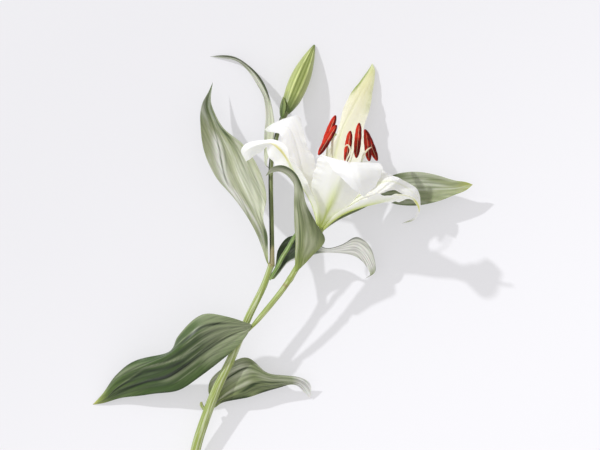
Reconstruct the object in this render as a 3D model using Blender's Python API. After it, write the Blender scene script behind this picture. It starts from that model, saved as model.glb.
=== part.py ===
"""A cut stem of white lily, lying on a flat surface.

One open flower, one closed bud, seven leaves and the stalks that carry them.  Every organ is its
own closed solid.  Frame: +Z up, Y from the cut end towards the bud, origin under the middle of
the whole stem.  All the tables below are in millimetres.
"""

import math

import bmesh
import bpy
from mathutils import Vector

MM = 0.001

# ---------------------------------------------------------------- driving dimensions, mm
PLACE = (3.0, 2.4, 0.0)          # moves the tables so that the origin is under the middle
GAP = 0.35                       # clear space where one organ meets the next

LEAF_THICKNESS = 1.0
BRACT_THICKNESS = 0.9
TEPAL_THICKNESS = 1.2
EDGE_SHARE = 0.4                 # thickness at a blade's edge, as a share of its midrib's
BLADE_STEPS = 22                 # along a blade
BLADE_COLUMNS = 6                # across a blade

ANTHER_WIDTH = 5.2
ANTHER_DEPTH = 3.8
ANTHER_SHARES = (0.0, 0.06, 0.18, 0.38, 0.62, 0.82, 0.94, 1.0)   # places of its rings
ANTHER_END = 0.08                # how much of a half wave's end the pod's outline leaves out
FILAMENT_RADIUS = 0.55
FILAMENT_FOOT = (7, 2.2, 0.4)    # place along the flower's axis, distance from it, radius
FILAMENT_THROAT = (18, 5)        # place along the flower's axis, distance from it
FILAMENT_BEND = 0.55             # where it bends, as a share of the way from throat to anther
FILAMENT_END = 0.7               # radius at the anther, as a share
OVARY = (                        # place along the flower's axis, radius
    (1.5, 0.7),
    (6, 1.1),
    (14, 1.7),
    (24, 1.0),
)
STYLE_RADIUS = 0.9
STIGMA_RADIUS = 2.9

# ---------------------------------------------------------------- stalks: (x, y, z, radius)
MAIN_STEM = (
    (-76, -179, 4.0, 4.0),
    (-67, -130, 10, 3.7),
    (-59.5, -106, 15, 3.6),
    (-50.5, -83, 20, 3.5),
    (-39.5, -60, 27, 3.1),
    (-26.5, -29, 34, 2.7),
    (-15.5, -6.5, 38, 2.4),
    (-10.6, 7, 39.7, 2.2),
    (-9.7, 9.5, 40, 2.6),
)
CUT_SLANT = 0.7                  # length lost per length across the cut end

BUD_STALK = (
    (-9.2, 10.9, 40.1, 2.2),
    (-9.4, 14, 40, 1.8),
    (-9.8, 41, 38.5, 1.7),
    (-10.4, 71, 35, 1.7),
    (-9.8, 86, 32, 1.7),
    (-6.3, 103, 28, 1.7),
    (-3.5, 113, 25.8, 1.9),
    (0.3, 120.4, 24.6, 2.3),
)
FLOWER_PEDICEL = (
    (-24.7, -37.2, 36, 0.9),
    (-19, -30.5, 37.4, 1.9),
    (-4.6, -13, 40.5, 2.1),
    (3, -2.5, 42, 2.2),
    (3.8, -1.3, 42.1, 2.6),
    (4.6, 0, 42.3, 2.2),
    (11, 11, 43.5, 2.2),
    (19.5, 25, 45, 2.2),
    (23.3, 31, 45.7, 2.7),
    (25.2, 34.4, 46, 3.2),
)
SIDE_STALK = (
    (-7.0, 2.5, 40, 0.9),
    (-5.2, 8, 40.5, 1.4),
    (-2, 14.5, 41.3, 1.6),
    (1.2, 19.4, 42.2, 1.6),
    (1.8, 20.4, 42.4, 1.8),
    (2.4, 21.4, 42.6, 1.6),
    (6, 28, 44, 1.4),
    (9, 34, 45.5, 0.5),
)
LEAF_STUB = (
    (-62.1, -98.5, 15.8, 1.2),
    (-62.3, -96, 16.6, 1.3),
    (-62.3, -93.8, 17.6, 0.8),
)

# ---------------------------------------------------------------- closed bud
BUD_BASE = (0.7, 121.2, 24.4)
BUD_TIP = (21.8, 173.5, 1.2)
BUD_PROFILE = (                  # share of the length, radius
    (0.0, 2.6),
    (0.06, 4.2),
    (0.2, 6.2),
    (0.4, 7.2),
    (0.6, 6.6),
    (0.8, 4.3),
    (0.93, 2.1),
    (1.0, 0.7),
)
BUD_LOBES = 0.05                 # how far the three outer segments swell past round

# ---------------------------------------------------------------- leaves
# Each row crosses a blade from its left edge to its right edge, seen along the way it grows.
LEAF_LOWER_LEFT = (
    ((-25, -37.5, 38.3), (-24.7, -37, 38.7), (-24.5, -36.5, 39), (-24, -35.8, 39), (-23.5, -35, 38.8)),
    ((-34, -50, 37), (-38, -45, 38.5), (-41, -41, 41), (-42, -35, 45), (-40.5, -29, 47)),
    ((-48.5, -63, 34), (-54, -56, 36.5), (-58, -50, 41), (-59, -38, 50), (-60, -27, 45)),
    ((-64, -74.5, 29), (-70, -68, 32), (-74, -62, 38), (-73, -48, 49), (-78, -43, 41)),
    ((-80, -85, 23), (-85, -78, 26), (-89, -71, 32), (-88, -58.5, 41), (-86, -55, 35)),
    ((-100, -88, 16), (-103, -82, 19), (-106, -76, 24), (-109, -68, 29), (-110, -62, 27)),
    ((-120, -91, 9), (-123, -88, 11), (-125, -84, 14), (-126, -78, 16), (-126, -73, 14)),
    ((-136.5, -96, 3), (-137, -94.5, 4), (-137.5, -93.5, 5), (-137, -90.5, 5.5), (-136.5, -88, 4.5)),
    ((-145.5, -97.5, 0.4),) * 5,
)
LEAF_LOWER_RIGHT = (
    ((-53.9, -97, 13), (-53.5, -97.3, 13.2), (-53.1, -97.6, 13.3), (-52.7, -98, 13.4), (-52.3, -98.4, 13)),
    ((-57.5, -88, 9), (-55, -90, 9.5), (-52, -92.5, 11), (-50, -94, 12.5), (-48, -95, 13)),
    ((-55.5, -77, 10), (-51, -81, 11.5), (-45.5, -85, 13.5), (-42, -89.5, 14), (-39, -93, 12.5)),
    ((-44, -67, 13), (-41, -72, 15.5), (-36.5, -78.5, 18), (-32, -85.5, 16.5), (-28, -90.5, 13)),
    ((-28.5, -60.5, 19), (-27, -66.5, 22), (-24.5, -73.5, 20.5), (-21.5, -81, 18), (-18, -87.5, 14)),
    ((-14, -71, 20), (-12.5, -73, 22), (-11, -76, 21), (-9, -80, 19), (-6, -84, 15)),
    ((-1, -73.5, 18), (0, -75, 19), (1.5, -77, 19), (2.5, -79, 18), (3.5, -80.5, 16)),
    ((10.5, -76.5, 15), (10.7, -77.5, 15.5), (11, -78.7, 15.5), (11.2, -79.5, 15), (11.5, -80.5, 14)),
    ((16.5, -81, 9), (16.2, -82.5, 9), (15.8, -84, 9), (15.3, -85.5, 8.8), (14.8, -87, 8.5)),
    ((19.5, -93.5, 1),) * 5,
)
LEAF_TALL_LEFT = (
    ((-13.4, 11, 40), (-12.9, 11, 39.2), (-12.5, 11, 40)),
    ((-15.9, 20, 42), (-14.2, 20.5, 41), (-12.5, 20.5, 43)),
    ((-19.6, 30, 44), (-16, 31.5, 41), (-12.2, 31.5, 46)),
    ((-26, 41.5, 46), (-20, 41.5, 42), (-15.5, 42.5, 46)),
    ((-37.5, 57.5, 46), (-27, 55, 41), (-13.5, 59, 44)),
    ((-50, 73, 42), (-35, 70, 36), (-19, 79, 41)),
    ((-60, 94.5, 36), (-43, 91, 29), (-30, 96.5, 34)),
    ((-62.5, 115.5, 29), (-53, 112.5, 24), (-46, 110, 27)),
    ((-61, 128.5, 22), (-58, 126.5, 19), (-54.5, 127, 20)),
    ((-57, 137.5, 16), (-56, 137.5, 15.5), (-55, 137, 16)),
    ((-54, 145, 12),) * 3,
)
LEAF_ARCHING_TOP = (
    ((-14.6, 81.5, 31.5), (-14.2, 81.5, 32.5), (-13.6, 81, 33.5)),
    ((-15.5, 93.5, 26), (-13.5, 94, 25), (-11, 93, 29)),
    ((-15.5, 105.5, 21), (-12.5, 106.5, 19), (-8, 106, 23)),
    ((-14.5, 117.5, 17), (-12, 119, 15), (-8.5, 119.5, 20)),
    ((-16, 132, 14), (-13.5, 133, 12), (-11.5, 132.5, 18)),
    ((-21, 142.5, 11), (-19, 144.5, 9), (-17, 145.5, 14)),
    ((-27.5, 153, 8), (-26.5, 155, 6.5), (-25.5, 156, 10)),
    ((-36.5, 161, 5), (-36, 162.5, 4), (-36, 163.5, 6.5)),
    ((-47, 163.5, 2.4), (-47, 164.7, 2), (-46.5, 165.8, 3)),
    ((-57, 165, 0.4),) * 3,
)
LEAF_FRONT = (
    ((7.5, 7.5, 46.2), (9.5, 5.5, 46.8), (11.5, 7, 46.5)),
    ((7.5, 16, 48), (11, 15, 50.5), (19, 14.5, 49.5)),
    ((7.5, 27, 52.5), (13, 25, 57), (29, 26.5, 55)),
    ((7, 40, 60.5), (12.5, 39.5, 64), (23, 38.5, 63)),
    ((6.5, 53, 68), (10.5, 53, 72), (15.5, 53, 72)),
    ((7, 65, 77), (9.5, 65.5, 80), (12.5, 65, 81)),
    ((3.5, 71, 83), (5.5, 74, 85), (7.5, 75, 87)),
    ((-2.5, 75.5, 84), (-1.5, 77.5, 86), (-0.5, 80, 88)),
    ((-8.5, 75, 81), (-8.5, 77, 82), (-9, 78.5, 83)),
    ((-13.5, 72.5, 77),) * 3,
)
LEAF_RIGHT_LOW = (
    ((-9.2, 0.5, 37.3), (-8.9, -1, 37), (-8.7, -2, 36.6)),
    ((-6.5, 11, 36), (-6, 5, 33.5), (-5, 1.5, 33.5)),
    ((-4.5, 21, 34), (0, 13.5, 30), (1.5, 9.5, 32)),
    ((3.5, 30, 33), (9, 21, 28), (11, 13.5, 31)),
    ((17, 28.5, 35), (19, 22.5, 30), (20.5, 16, 30)),
    ((29, 21, 42), (30, 19.5, 34), (31, 18, 27)),
    ((41.5, 24, 41), (42, 21, 34), (42.5, 17, 29)),
    ((52.5, 29.5, 37), (51.5, 22, 33), (51, 15, 29)),
    ((62.5, 22.5, 29), (58, 17.5, 28), (56, 12, 26)),
    ((67, 9, 19), (63.5, 8.5, 20), (61, 6, 18)),
    ((66.5, 2, 11), (65, 2, 11.5), (63.5, 0.5, 11)),
    ((59.5, -2.5, 5),) * 3,
)
LEAF_RIGHT_BROAD = (
    ((22, 31.5, 40.5), (22.7, 30.5, 40.2), (23.2, 30, 40.5)),
    ((36, 45.5, 31), (37.5, 43, 30), (39.5, 41.5, 31)),
    ((51.5, 56.5, 23), (54, 53, 22), (56, 49.5, 24)),
    ((68, 68.5, 18), (70.5, 61.5, 16), (71.5, 55.5, 19)),
    ((81, 75.5, 18), (83.5, 64.5, 15), (85, 53, 18)),
    ((95.5, 77.5, 20), (97.5, 65.5, 17), (98.5, 52.5, 19)),
    ((111, 75.5, 21), (113, 65.5, 18), (113.5, 55.5, 20)),
    ((126, 71, 21), (126, 65.5, 20), (126, 60.5, 21)),
    ((134, 70, 20), (134, 67, 19.5), (134, 63.5, 19.5)),
    ((139.5, 68, 19),) * 3,
)
BUD_BRACT = (
    ((-4.6, 117.8, 23), (-4.5, 118, 26.4), (-2.2, 118.3, 28.6)),
    ((-5.4, 124, 20), (-4.8, 124.5, 25.6), (-1.4, 125, 29.4)),
    ((-4.4, 129.5, 19.2), (-3.4, 129.5, 23.8), (0, 130, 27.4)),
    ((-0.8, 134.5, 23.6),) * 3,
)

# ---------------------------------------------------------------- flower
FLOWER_BASE = (25.5, 35, 46)
AXIS = (0.362, 0.895, 0.259)     # the way the trumpet opens
FRONT = (-0.097, -0.24, 0.966)   # across the axis, away from the surface
RIGHT = (0.927, -0.375, 0.0)     # across both
TUBE_REACHES = (1.5, 8, 18, 30)  # places along the axis that shape the closed part
RIGHT_RADII = (2.6, 5.2, 11.5, 23)    # the trumpet's half width there, to the right
LEFT_RADII = (2.6, 6.2, 14.5, 29)     # to the left
FRONT_RADII = (2.6, 4.9, 10.5, 21.5)  # its half depth there
INNER_SPANS = (36, 42, 42, 38)   # half the angle that an inner tepal covers there, degrees
OUTER_SPANS = (26, 28, 28, 24)
LAYER_START = 0.75               # inner tepals run this far inside the trumpet, outer ones outside
LAYER_GROWTH = 0.03

# The free part of each tepal, as rows from its left edge to its right edge.
TEPAL_FRONT = (
    ((21.5, 77.5, 82), (39.5, 71, 89), (61, 72, 84)),
    ((25, 86.5, 90), (45, 81.5, 102), (67, 81.5, 93)),
    ((28.5, 83.5, 96), (47, 78, 110), (68, 77.5, 99)),
    ((36, 74.5, 103), (49.5, 70.5, 112), (66.5, 70, 101)),
    ((45, 65, 106), (52.5, 63.5, 107), (61, 63, 101)),
    ((55.5, 57.5, 99),) * 3,
)
TEPAL_RIGHT_FRONT = (
    ((63, 59, 84), (68, 54.5, 74), (72, 54.5, 60)),
    ((75, 58.8, 88), (78, 57.5, 83), (81, 54.2, 70)),
    ((82, 59.6, 90), (84, 58.3, 87), (85, 56.2, 81)),
    ((88.6, 58.3, 88), (89, 57.2, 86.5), (89.2, 56, 85)),
    ((92.6, 55.6, 83), (92.2, 54.9, 82), (91.7, 54.2, 81)),
    ((95.7, 51.4, 76), (95.1, 51, 75.5), (94.4, 50.7, 75)),
    ((96.2, 46.3, 68),) * 3,
)
TEPAL_RIGHT_BACK = (
    ((57, 86, 32), (63.5, 66.5, 36), (67, 59, 44)),
    ((74, 77, 33), (75.5, 70, 39), (77.5, 63.5, 43)),
    ((85, 71.5, 36), (86.5, 66.5, 39), (87, 60, 41)),
    ((95, 66.3, 36), (94, 61.5, 37.5), (91.8, 56.8, 38)),
    ((98.8, 60.3, 32.5), (97.4, 57.9, 33.5), (95.5, 56, 33.5)),
    ((100, 53.5, 26), (98.9, 53.3, 27), (97.8, 53.2, 27)),
    ((99.8, 47.3, 17), (98.9, 47.6, 18), (98, 48, 18)),
    ((96.2, 41.2, 6), (95.9, 42, 6.5), (95.5, 42.9, 6.5)),
    ((87.3, 39.2, 0.6),) * 3,
)
TEPAL_BACK = (
    ((28, 88, 30), (37, 89.5, 25.5), (59.5, 92, 26)),
    ((37.5, 103, 21), (42, 108, 21.5), (58, 108, 21.5)),
    ((43, 124, 14.5), (50, 124.5, 15.5), (63, 124, 14.5)),
    ((49, 136.5, 9.5), (56.5, 137, 10.5), (65, 135, 9)),
    ((57.5, 148, 5.5), (61.5, 147.5, 6.3), (67, 147.5, 4.8)),
    ((62.5, 155, 3), (64.5, 154.5, 3.4), (67.5, 155, 2.8)),
    ((65.5, 160, 0.6),) * 3,
)
TEPAL_LEFT_BACK = (
    ((1.5, 83, 50), (10, 91.5, 40), (20, 89.5, 34)),
    ((-1.5, 94.5, 46), (7, 101.5, 38), (15.5, 98, 34)),
    ((-3, 102, 42), (3.5, 109, 37), (13, 110, 33)),
    ((-4.5, 105, 39), (-0.5, 111, 36), (10.5, 118.3, 33)),
    ((-9, 106, 35.5), (-6.5, 110, 35), (0, 116.2, 33)),
    ((-12.5, 106.5, 33.5), (-12, 109, 33.5), (-9.5, 112.5, 33)),
    ((-15.5, 108, 31),) * 3,
)
TEPAL_LEFT_FRONT = (
    ((-2.5, 75, 66), (5.5, 78, 72), (12.5, 75.5, 74)),
    ((-7, 81, 66), (0.5, 87, 76), (4.5, 84, 79)),
    ((-11.5, 87.5, 67), (-4, 92.5, 79), (2, 92.5, 82)),
    ((-12.5, 93, 68), (-9, 96, 79), (-4, 97.5, 80)),
    ((-16, 91, 64), (-17.5, 95.5, 74), (-14.5, 98.5, 75)),
    ((-23.5, 86.5, 58), (-25.5, 92.5, 66), (-27, 96.5, 66)),
    ((-27.5, 84, 54), (-29.5, 88.5, 57), (-31.5, 91, 58)),
    ((-27.5, 83, 52),) * 3,
)
# name, angle round the axis from the front towards the right, whorl, free part
TEPALS = (
    ("tepal_front", 0, "inner", TEPAL_FRONT),
    ("tepal_right_front", 60, "outer", TEPAL_RIGHT_FRONT),
    ("tepal_right_back", 130, "inner", TEPAL_RIGHT_BACK),
    ("tepal_back", 193, "outer", TEPAL_BACK),
    ("tepal_left_back", 245, "inner", TEPAL_LEFT_BACK),
    ("tepal_left_front", 300, "outer", TEPAL_LEFT_FRONT),
)

# Each anther's upper and lower end, and the angle at which its filament starts.
STAMENS = (
    ((36.5, 116.5, 66), (27, 92.5, 62), 255),
    ((37, 109, 76), (24, 87.5, 74), 305),
    ((46.5, 104.5, 82), (43.5, 82, 76), 0),
    ((53, 110.5, 76), (51, 85.5, 72), 40),
    ((58, 105.5, 70), (60.5, 83.5, 66), 80),
    ((57.5, 107, 58), (66.5, 84, 60), 120),
)
# Most filaments meet their anther behind its middle.  These two pass in front of it.
FRONT_FILAMENTS = {
    3: (
        (38.5, 64, 67),
        (42.6, 75, 75.5),
        (43.4, 82.5, 80.6),
        (46.6, 90.5, 82.2),
        (44.6, 94.6, 83),
        (42.4, 93, 82.4),
    ),
    5: ((48, 70, 60), (54.2, 80, 64.5), (56, 87.5, 70), (59.3, 91.8, 72), (61.8, 93.4, 71.2)),
}
STYLE = (33.8, 84, 56)                # a point that the style bends through
STIGMA = (34.5, 104.5, 57)

# ---------------------------------------------------------------- colours
COLOURS = {
    "stem_green": (0.45, 0.53, 0.20),
    "stalk_olive": (0.13, 0.18, 0.05),
    "leaf_dark": (0.06, 0.12, 0.04),
    "leaf_sage": (0.30, 0.36, 0.20),
    "bud_green": (0.42, 0.50, 0.15),
    "tepal_white": (0.88, 0.88, 0.84),
    "anther_red": (0.55, 0.03, 0.02),
    "filament_cream": (0.80, 0.82, 0.55),
}
ROUGHNESS = 0.5


# ---------------------------------------------------------------- tools
def clear_scene():
    """Remove every object, so that the file holds only the lily."""
    for thing in list(bpy.data.objects):
        bpy.data.objects.remove(thing, do_unlink=True)


def material(name):
    """One plain surface per kind of tissue."""
    found = bpy.data.materials.get(name)
    if found:
        return found
    made = bpy.data.materials.new(name)
    made.use_nodes = True
    shader = made.node_tree.nodes["Principled BSDF"]
    shader.inputs["Base Color"].default_value = (*COLOURS[name], 1.0)
    shader.inputs["Roughness"].default_value = ROUGHNESS
    shader.inputs["Metallic"].default_value = 0.0
    return made


def slope(points, places, i):
    """Tangent of the smooth curve at its point i."""
    before = max(i - 1, 0)
    after = min(i + 1, len(points) - 1)
    return (points[after] - points[before]) / (places[after] - places[before])


def through(points, places, at):
    """Point at the place `at` on the smooth curve through the points, which sit at `places`."""
    i = 0
    while i < len(points) - 2 and at > places[i + 1]:
        i += 1
    span = places[i + 1] - places[i]
    t = (at - places[i]) / span
    start = points[i] * (2 * t**3 - 3 * t**2 + 1) + slope(points, places, i) * span * (t**3 - 2 * t**2 + t)
    end = points[i + 1] * (3 * t**2 - 2 * t**3) + slope(points, places, i + 1) * span * (t**3 - t**2)
    return start + end


def running_length(points):
    """Distance from the first point to each point."""
    total = [0.0]
    for before, after in zip(points, points[1:]):
        total.append(total[-1] + (after - before).length)
    return total


def smooth_route(points, steps):
    """Evenly spaced points on the smooth curve through the given ones, of any dimension."""
    centres = [Vector(p[:3]) for p in points]
    places = running_length(centres)
    vectors = [Vector(p) for p in points]
    return [through(vectors, places, places[-1] * k / steps) for k in range(steps + 1)]


def add_object(name, bm, surface, parent):
    """Turn a finished bmesh, in millimetres, into a named object in metres."""
    bmesh.ops.scale(bm, vec=(MM, MM, MM), verts=bm.verts)
    mesh = bpy.data.meshes.new(name)
    bm.to_mesh(mesh)
    bm.free()
    mesh.materials.append(material(surface))
    mesh.shade_smooth()
    made = bpy.data.objects.new(name, mesh)
    bpy.context.scene.collection.objects.link(made)
    made.parent = parent
    return made


def loft(name, rings, surface, parent):
    """A closed solid whose skin joins the rings in order, with a flat cap on each end."""
    bm = bmesh.new()
    loops = [[bm.verts.new(p) for p in ring] for ring in rings]
    sides = len(loops[0])
    for lower, upper in zip(loops, loops[1:]):
        for i in range(sides):
            j = (i + 1) % sides
            bm.faces.new((lower[i], lower[j], upper[j], upper[i]))
    bm.faces.new(loops[0][::-1])
    bm.faces.new(loops[-1])
    bmesh.ops.recalc_face_normals(bm, faces=bm.faces)
    return add_object(name, bm, surface, parent)


def across_frames(centres):
    """Two directions across each point of a route, which turn as little as they can along it."""
    frames = []
    side = Vector((0, 0, 1))
    for i in range(len(centres)):
        ahead = centres[min(i + 1, len(centres) - 1)] - centres[max(i - 1, 0)]
        ahead.normalize()
        side = (side - ahead * side.dot(ahead)).normalized()
        frames.append((ahead, side, ahead.cross(side)))
    return frames


def rings_along(centres, radii, sides, outline=None, flat=1.0):
    """Rings of points across a route; `outline` gives a factor on the radius by angle."""
    rings = []
    for centre, radius, frame in zip(centres, radii, across_frames(centres)):
        ring = []
        for k in range(sides):
            angle = 2 * math.pi * k / sides
            size = radius * (outline(angle) if outline else 1.0)
            sideways = frame[1] * size * flat * math.cos(angle)
            upward = frame[2] * size * math.sin(angle)
            ring.append(centre + sideways + upward)
        rings.append(ring)
    return rings


def stalk(name, table, surface, parent, sides=8, steps=24, cut_slant=0.0):
    """A tapering round stalk; the first end may be cut on a slant."""
    points = smooth_route(table, steps)
    centres = [p.xyz for p in points]
    rings = rings_along(centres, [p[3] for p in points], sides)
    ahead, side, _ = across_frames(centres)[0]
    rings[0] = [p + ahead * cut_slant * ((p - centres[0]).dot(side) + points[0][3]) for p in rings[0]]
    return loft(name, rings, surface, parent)


def blade(name, rows, surface, parent, thickness):
    """A leaf-like sheet through the rows, thickest at its midrib and closed by Solidify."""
    rows = [[Vector(p) for p in row] for row in rows]
    middle = len(rows[0]) // 2
    places = running_length([row[middle] for row in rows])
    rails = list(zip(*rows))
    width_places = [2 * k / (len(rails) - 1) - 1 for k in range(len(rails))]
    columns = [2 * k / BLADE_COLUMNS - 1 for k in range(BLADE_COLUMNS + 1)]

    bm = bmesh.new()
    weights = bm.verts.layers.deform.verify()
    grid = []
    for step in range(BLADE_STEPS + 1):
        at = places[-1] * step / BLADE_STEPS
        section = [through(rail, places, at) for rail in rails]
        if step == BLADE_STEPS:
            tip = bm.verts.new(section[middle])
            tip[weights][0] = EDGE_SHARE
            grid.append([tip] * len(columns))
            continue
        line = []
        for u in columns:
            vert = bm.verts.new(through(section, width_places, u))
            vert[weights][0] = 1.0 - (1.0 - EDGE_SHARE) * abs(u)
            line.append(vert)
        grid.append(line)
    for near, far in zip(grid, grid[1:]):
        for i in range(BLADE_COLUMNS):
            corners = (near[i], near[i + 1], far[i + 1], far[i])
            bm.faces.new(tuple(dict.fromkeys(corners)))

    made = add_object(name, bm, surface, parent)
    made.vertex_groups.new(name="thickness")
    solid = made.modifiers.new("blade thickness", "SOLIDIFY")
    solid.thickness = thickness * MM
    solid.offset = 0.0
    solid.vertex_group = "thickness"
    return made


# ---------------------------------------------------------------- flower
def in_flower(reach, turn, side_radius, front_radius):
    """Point of the flower by its place along the axis and its angle round it."""
    angle = math.radians(turn)
    across = Vector(RIGHT) * side_radius * math.sin(angle) + Vector(FRONT) * front_radius * math.cos(angle)
    return Vector(FLOWER_BASE) + Vector(AXIS) * reach + across


def tube_rows(turn, whorl):
    """Rows of a tepal on the trumpet's wall, inside or outside it by its whorl."""
    spans = INNER_SPANS if whorl == "inner" else OUTER_SPANS
    sign = -1 if whorl == "inner" else 1
    rows = []
    for i, reach in enumerate(TUBE_REACHES):
        layer = sign * (LAYER_START + LAYER_GROWTH * reach)
        row = []
        for t in (turn - spans[i], turn, turn + spans[i]):
            side = RIGHT_RADII[i] if t % 360 < 180 else LEFT_RADII[i]
            row.append(in_flower(reach, t, side + layer, FRONT_RADII[i] + layer))
        rows.append(row)
    return rows


def seen_from_left(rows, turn):
    """Rows of the tube run by angle; those past the sides run the other way in the free part."""
    return [row[::-1] for row in rows] if 90 < turn < 270 else rows


def build_tepals(parent):
    for name, turn, whorl, free in TEPALS:
        rows = seen_from_left(tube_rows(turn, whorl), turn) + [list(row) for row in free]
        blade(name, rows, "tepal_white", parent, TEPAL_THICKNESS)


def anther_rings(top, bottom):
    """Rings of a long pod with rounded ends, flattened towards the front."""
    top = Vector(top)
    bottom = Vector(bottom)
    centres = [top.lerp(bottom, share) for share in ANTHER_SHARES]
    radii = []
    for share in ANTHER_SHARES:
        wave = math.pi * (ANTHER_END + (1 - 2 * ANTHER_END) * share)
        radii.append(ANTHER_WIDTH / 2 * max(0.3, math.sin(wave)))
    return rings_along(centres, radii, 8, flat=ANTHER_DEPTH / ANTHER_WIDTH)


def build_stamens(parent):
    for i, (top, bottom, turn) in enumerate(STAMENS, 1):
        loft(f"anther_{i}", anther_rings(top, bottom), "anther_red", parent)
        reach, away, radius = FILAMENT_FOOT
        foot = in_flower(reach, turn, away, away)
        reach, away = FILAMENT_THROAT
        throat = in_flower(reach, turn, away, away)
        joint = Vector(top).lerp(Vector(bottom), 0.5)
        joint.z -= ANTHER_DEPTH / 2 + FILAMENT_RADIUS + GAP
        beyond = FRONT_FILAMENTS.get(i, (throat.lerp(joint, FILAMENT_BEND), joint))
        route = [(*foot, radius), (*throat, FILAMENT_RADIUS)]
        route += [(*point, FILAMENT_RADIUS) for point in beyond[:-1]]
        route.append((*beyond[-1], FILAMENT_RADIUS * FILAMENT_END))
        stalk(f"filament_{i}", route, "filament_cream", parent, sides=6, steps=8 + 2 * len(beyond))


def build_pistil(parent):
    """Ovary, long style and a knob of a stigma, one piece."""
    stigma = Vector(STIGMA)
    bend = Vector(STYLE)
    route = [(*in_flower(reach, 0, 0, 0), radius) for reach, radius in OVARY]
    route += [
        (*bend, STYLE_RADIUS),
        (*bend.lerp(stigma, 0.86), STYLE_RADIUS * 1.33),
        (*bend.lerp(stigma, 0.94), STIGMA_RADIUS),
        (*stigma, STIGMA_RADIUS * 0.6),
    ]
    stalk("pistil", route, "filament_cream", parent, sides=9, steps=24)


# ---------------------------------------------------------------- the rest of the plant
def build_stalks(parent):
    stalk("main_stem", MAIN_STEM, "stem_green", parent, sides=10, steps=30, cut_slant=CUT_SLANT)
    stalk("bud_stalk", BUD_STALK, "stalk_olive", parent)
    stalk("flower_pedicel", FLOWER_PEDICEL, "stem_green", parent)
    stalk("side_stalk", SIDE_STALK, "stem_green", parent, steps=16)
    stalk("leaf_stub", LEAF_STUB, "stem_green", parent, steps=5)


def build_bud(parent):
    base = Vector(BUD_BASE)
    tip = Vector(BUD_TIP)
    centres = [base.lerp(tip, share) for share, _ in BUD_PROFILE]
    radii = [radius for _, radius in BUD_PROFILE]
    points = smooth_route([(*c, r) for c, r in zip(centres, radii)], 16)

    def three_segments(angle):
        return 1.0 + BUD_LOBES * math.cos(3 * angle)

    rings = rings_along([p.xyz for p in points], [p[3] for p in points], 12, three_segments)
    loft("bud", rings, "bud_green", parent)
    blade("bud_bract", BUD_BRACT, "leaf_dark", parent, BRACT_THICKNESS)


def build_leaves(parent):
    leaves = (
        ("leaf_lower_left", LEAF_LOWER_LEFT, "leaf_dark"),
        ("leaf_lower_right", LEAF_LOWER_RIGHT, "leaf_sage"),
        ("leaf_tall_left", LEAF_TALL_LEFT, "leaf_sage"),
        ("leaf_arching_top", LEAF_ARCHING_TOP, "leaf_sage"),
        ("leaf_front", LEAF_FRONT, "leaf_sage"),
        ("leaf_right_low", LEAF_RIGHT_LOW, "leaf_sage"),
        ("leaf_right_broad", LEAF_RIGHT_BROAD, "leaf_sage"),
    )
    for name, rows, surface in leaves:
        blade(name, rows, surface, parent, LEAF_THICKNESS)


def main():
    clear_scene()
    lily = bpy.data.objects.new("lily", None)
    bpy.context.scene.collection.objects.link(lily)
    lily.location = Vector(PLACE) * MM
    build_stalks(lily)
    build_bud(lily)
    build_leaves(lily)
    build_tepals(lily)
    build_stamens(lily)
    build_pistil(lily)


main()
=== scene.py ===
"""Looks of a cut white lily stem, lying on a pale floor.

Every leaf, petal, stalk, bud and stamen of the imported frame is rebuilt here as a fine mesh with
veins, ribs and wavy margins, and gets the material of its own tissue.  Tables are in millimetres.
"""
import math

import bpy
import numpy as np
from bpy.props import FloatProperty, FloatVectorProperty, PointerProperty
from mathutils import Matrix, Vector


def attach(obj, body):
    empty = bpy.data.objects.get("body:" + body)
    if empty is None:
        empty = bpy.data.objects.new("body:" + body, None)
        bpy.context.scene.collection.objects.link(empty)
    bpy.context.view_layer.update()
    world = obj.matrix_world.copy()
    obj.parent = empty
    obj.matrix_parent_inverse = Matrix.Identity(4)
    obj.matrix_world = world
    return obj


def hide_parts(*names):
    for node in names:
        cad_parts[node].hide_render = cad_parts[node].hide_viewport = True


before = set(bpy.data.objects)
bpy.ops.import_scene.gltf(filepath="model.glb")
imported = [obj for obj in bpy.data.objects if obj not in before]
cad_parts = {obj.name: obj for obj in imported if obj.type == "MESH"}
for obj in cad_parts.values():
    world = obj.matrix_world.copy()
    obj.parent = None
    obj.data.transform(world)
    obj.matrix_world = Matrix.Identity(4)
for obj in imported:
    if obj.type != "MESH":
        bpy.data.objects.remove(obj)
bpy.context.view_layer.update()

BODY = "root"
MM = 0.001
PLACE = np.array((3.0, 2.4, 0.0))     # the tables' zero, in the frame
EDGE_START = 0.94                     # share of half a blade's width where its edge turns round
UNDERSIDE_SHIFT = 7                   # mm between the patterns on a blade's two sides

bl_info = {
    "name": "Cut White Lily",
    "version": (1, 0, 0),
    "blender": (4, 5, 0),
    "location": "View3D > Sidebar > Lily",
    "description": "Builds the petals, leaves, stalks and stamens of a cut white lily stem",
    "category": "Add Mesh",
}

# ---------------------------------------------------------------- stalks: (x, y, z, radius)
MAIN_STEM = (
    (-76, -179, 4.0, 4.0),
    (-67, -130, 10, 3.7),
    (-59.5, -106, 15, 3.6),
    (-50.5, -83, 20, 3.5),
    (-39.5, -60, 27, 3.1),
    (-26.5, -29, 34, 2.7),
    (-15.5, -6.5, 38, 2.4),
    (-10.6, 7, 39.7, 2.2),
    (-9.7, 9.5, 40, 2.6),
)
CUT_SLANT = 0.7                  # length lost per length across the cut end
CUT_RINGS = 4                    # rings that the slant takes to fade out

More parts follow.
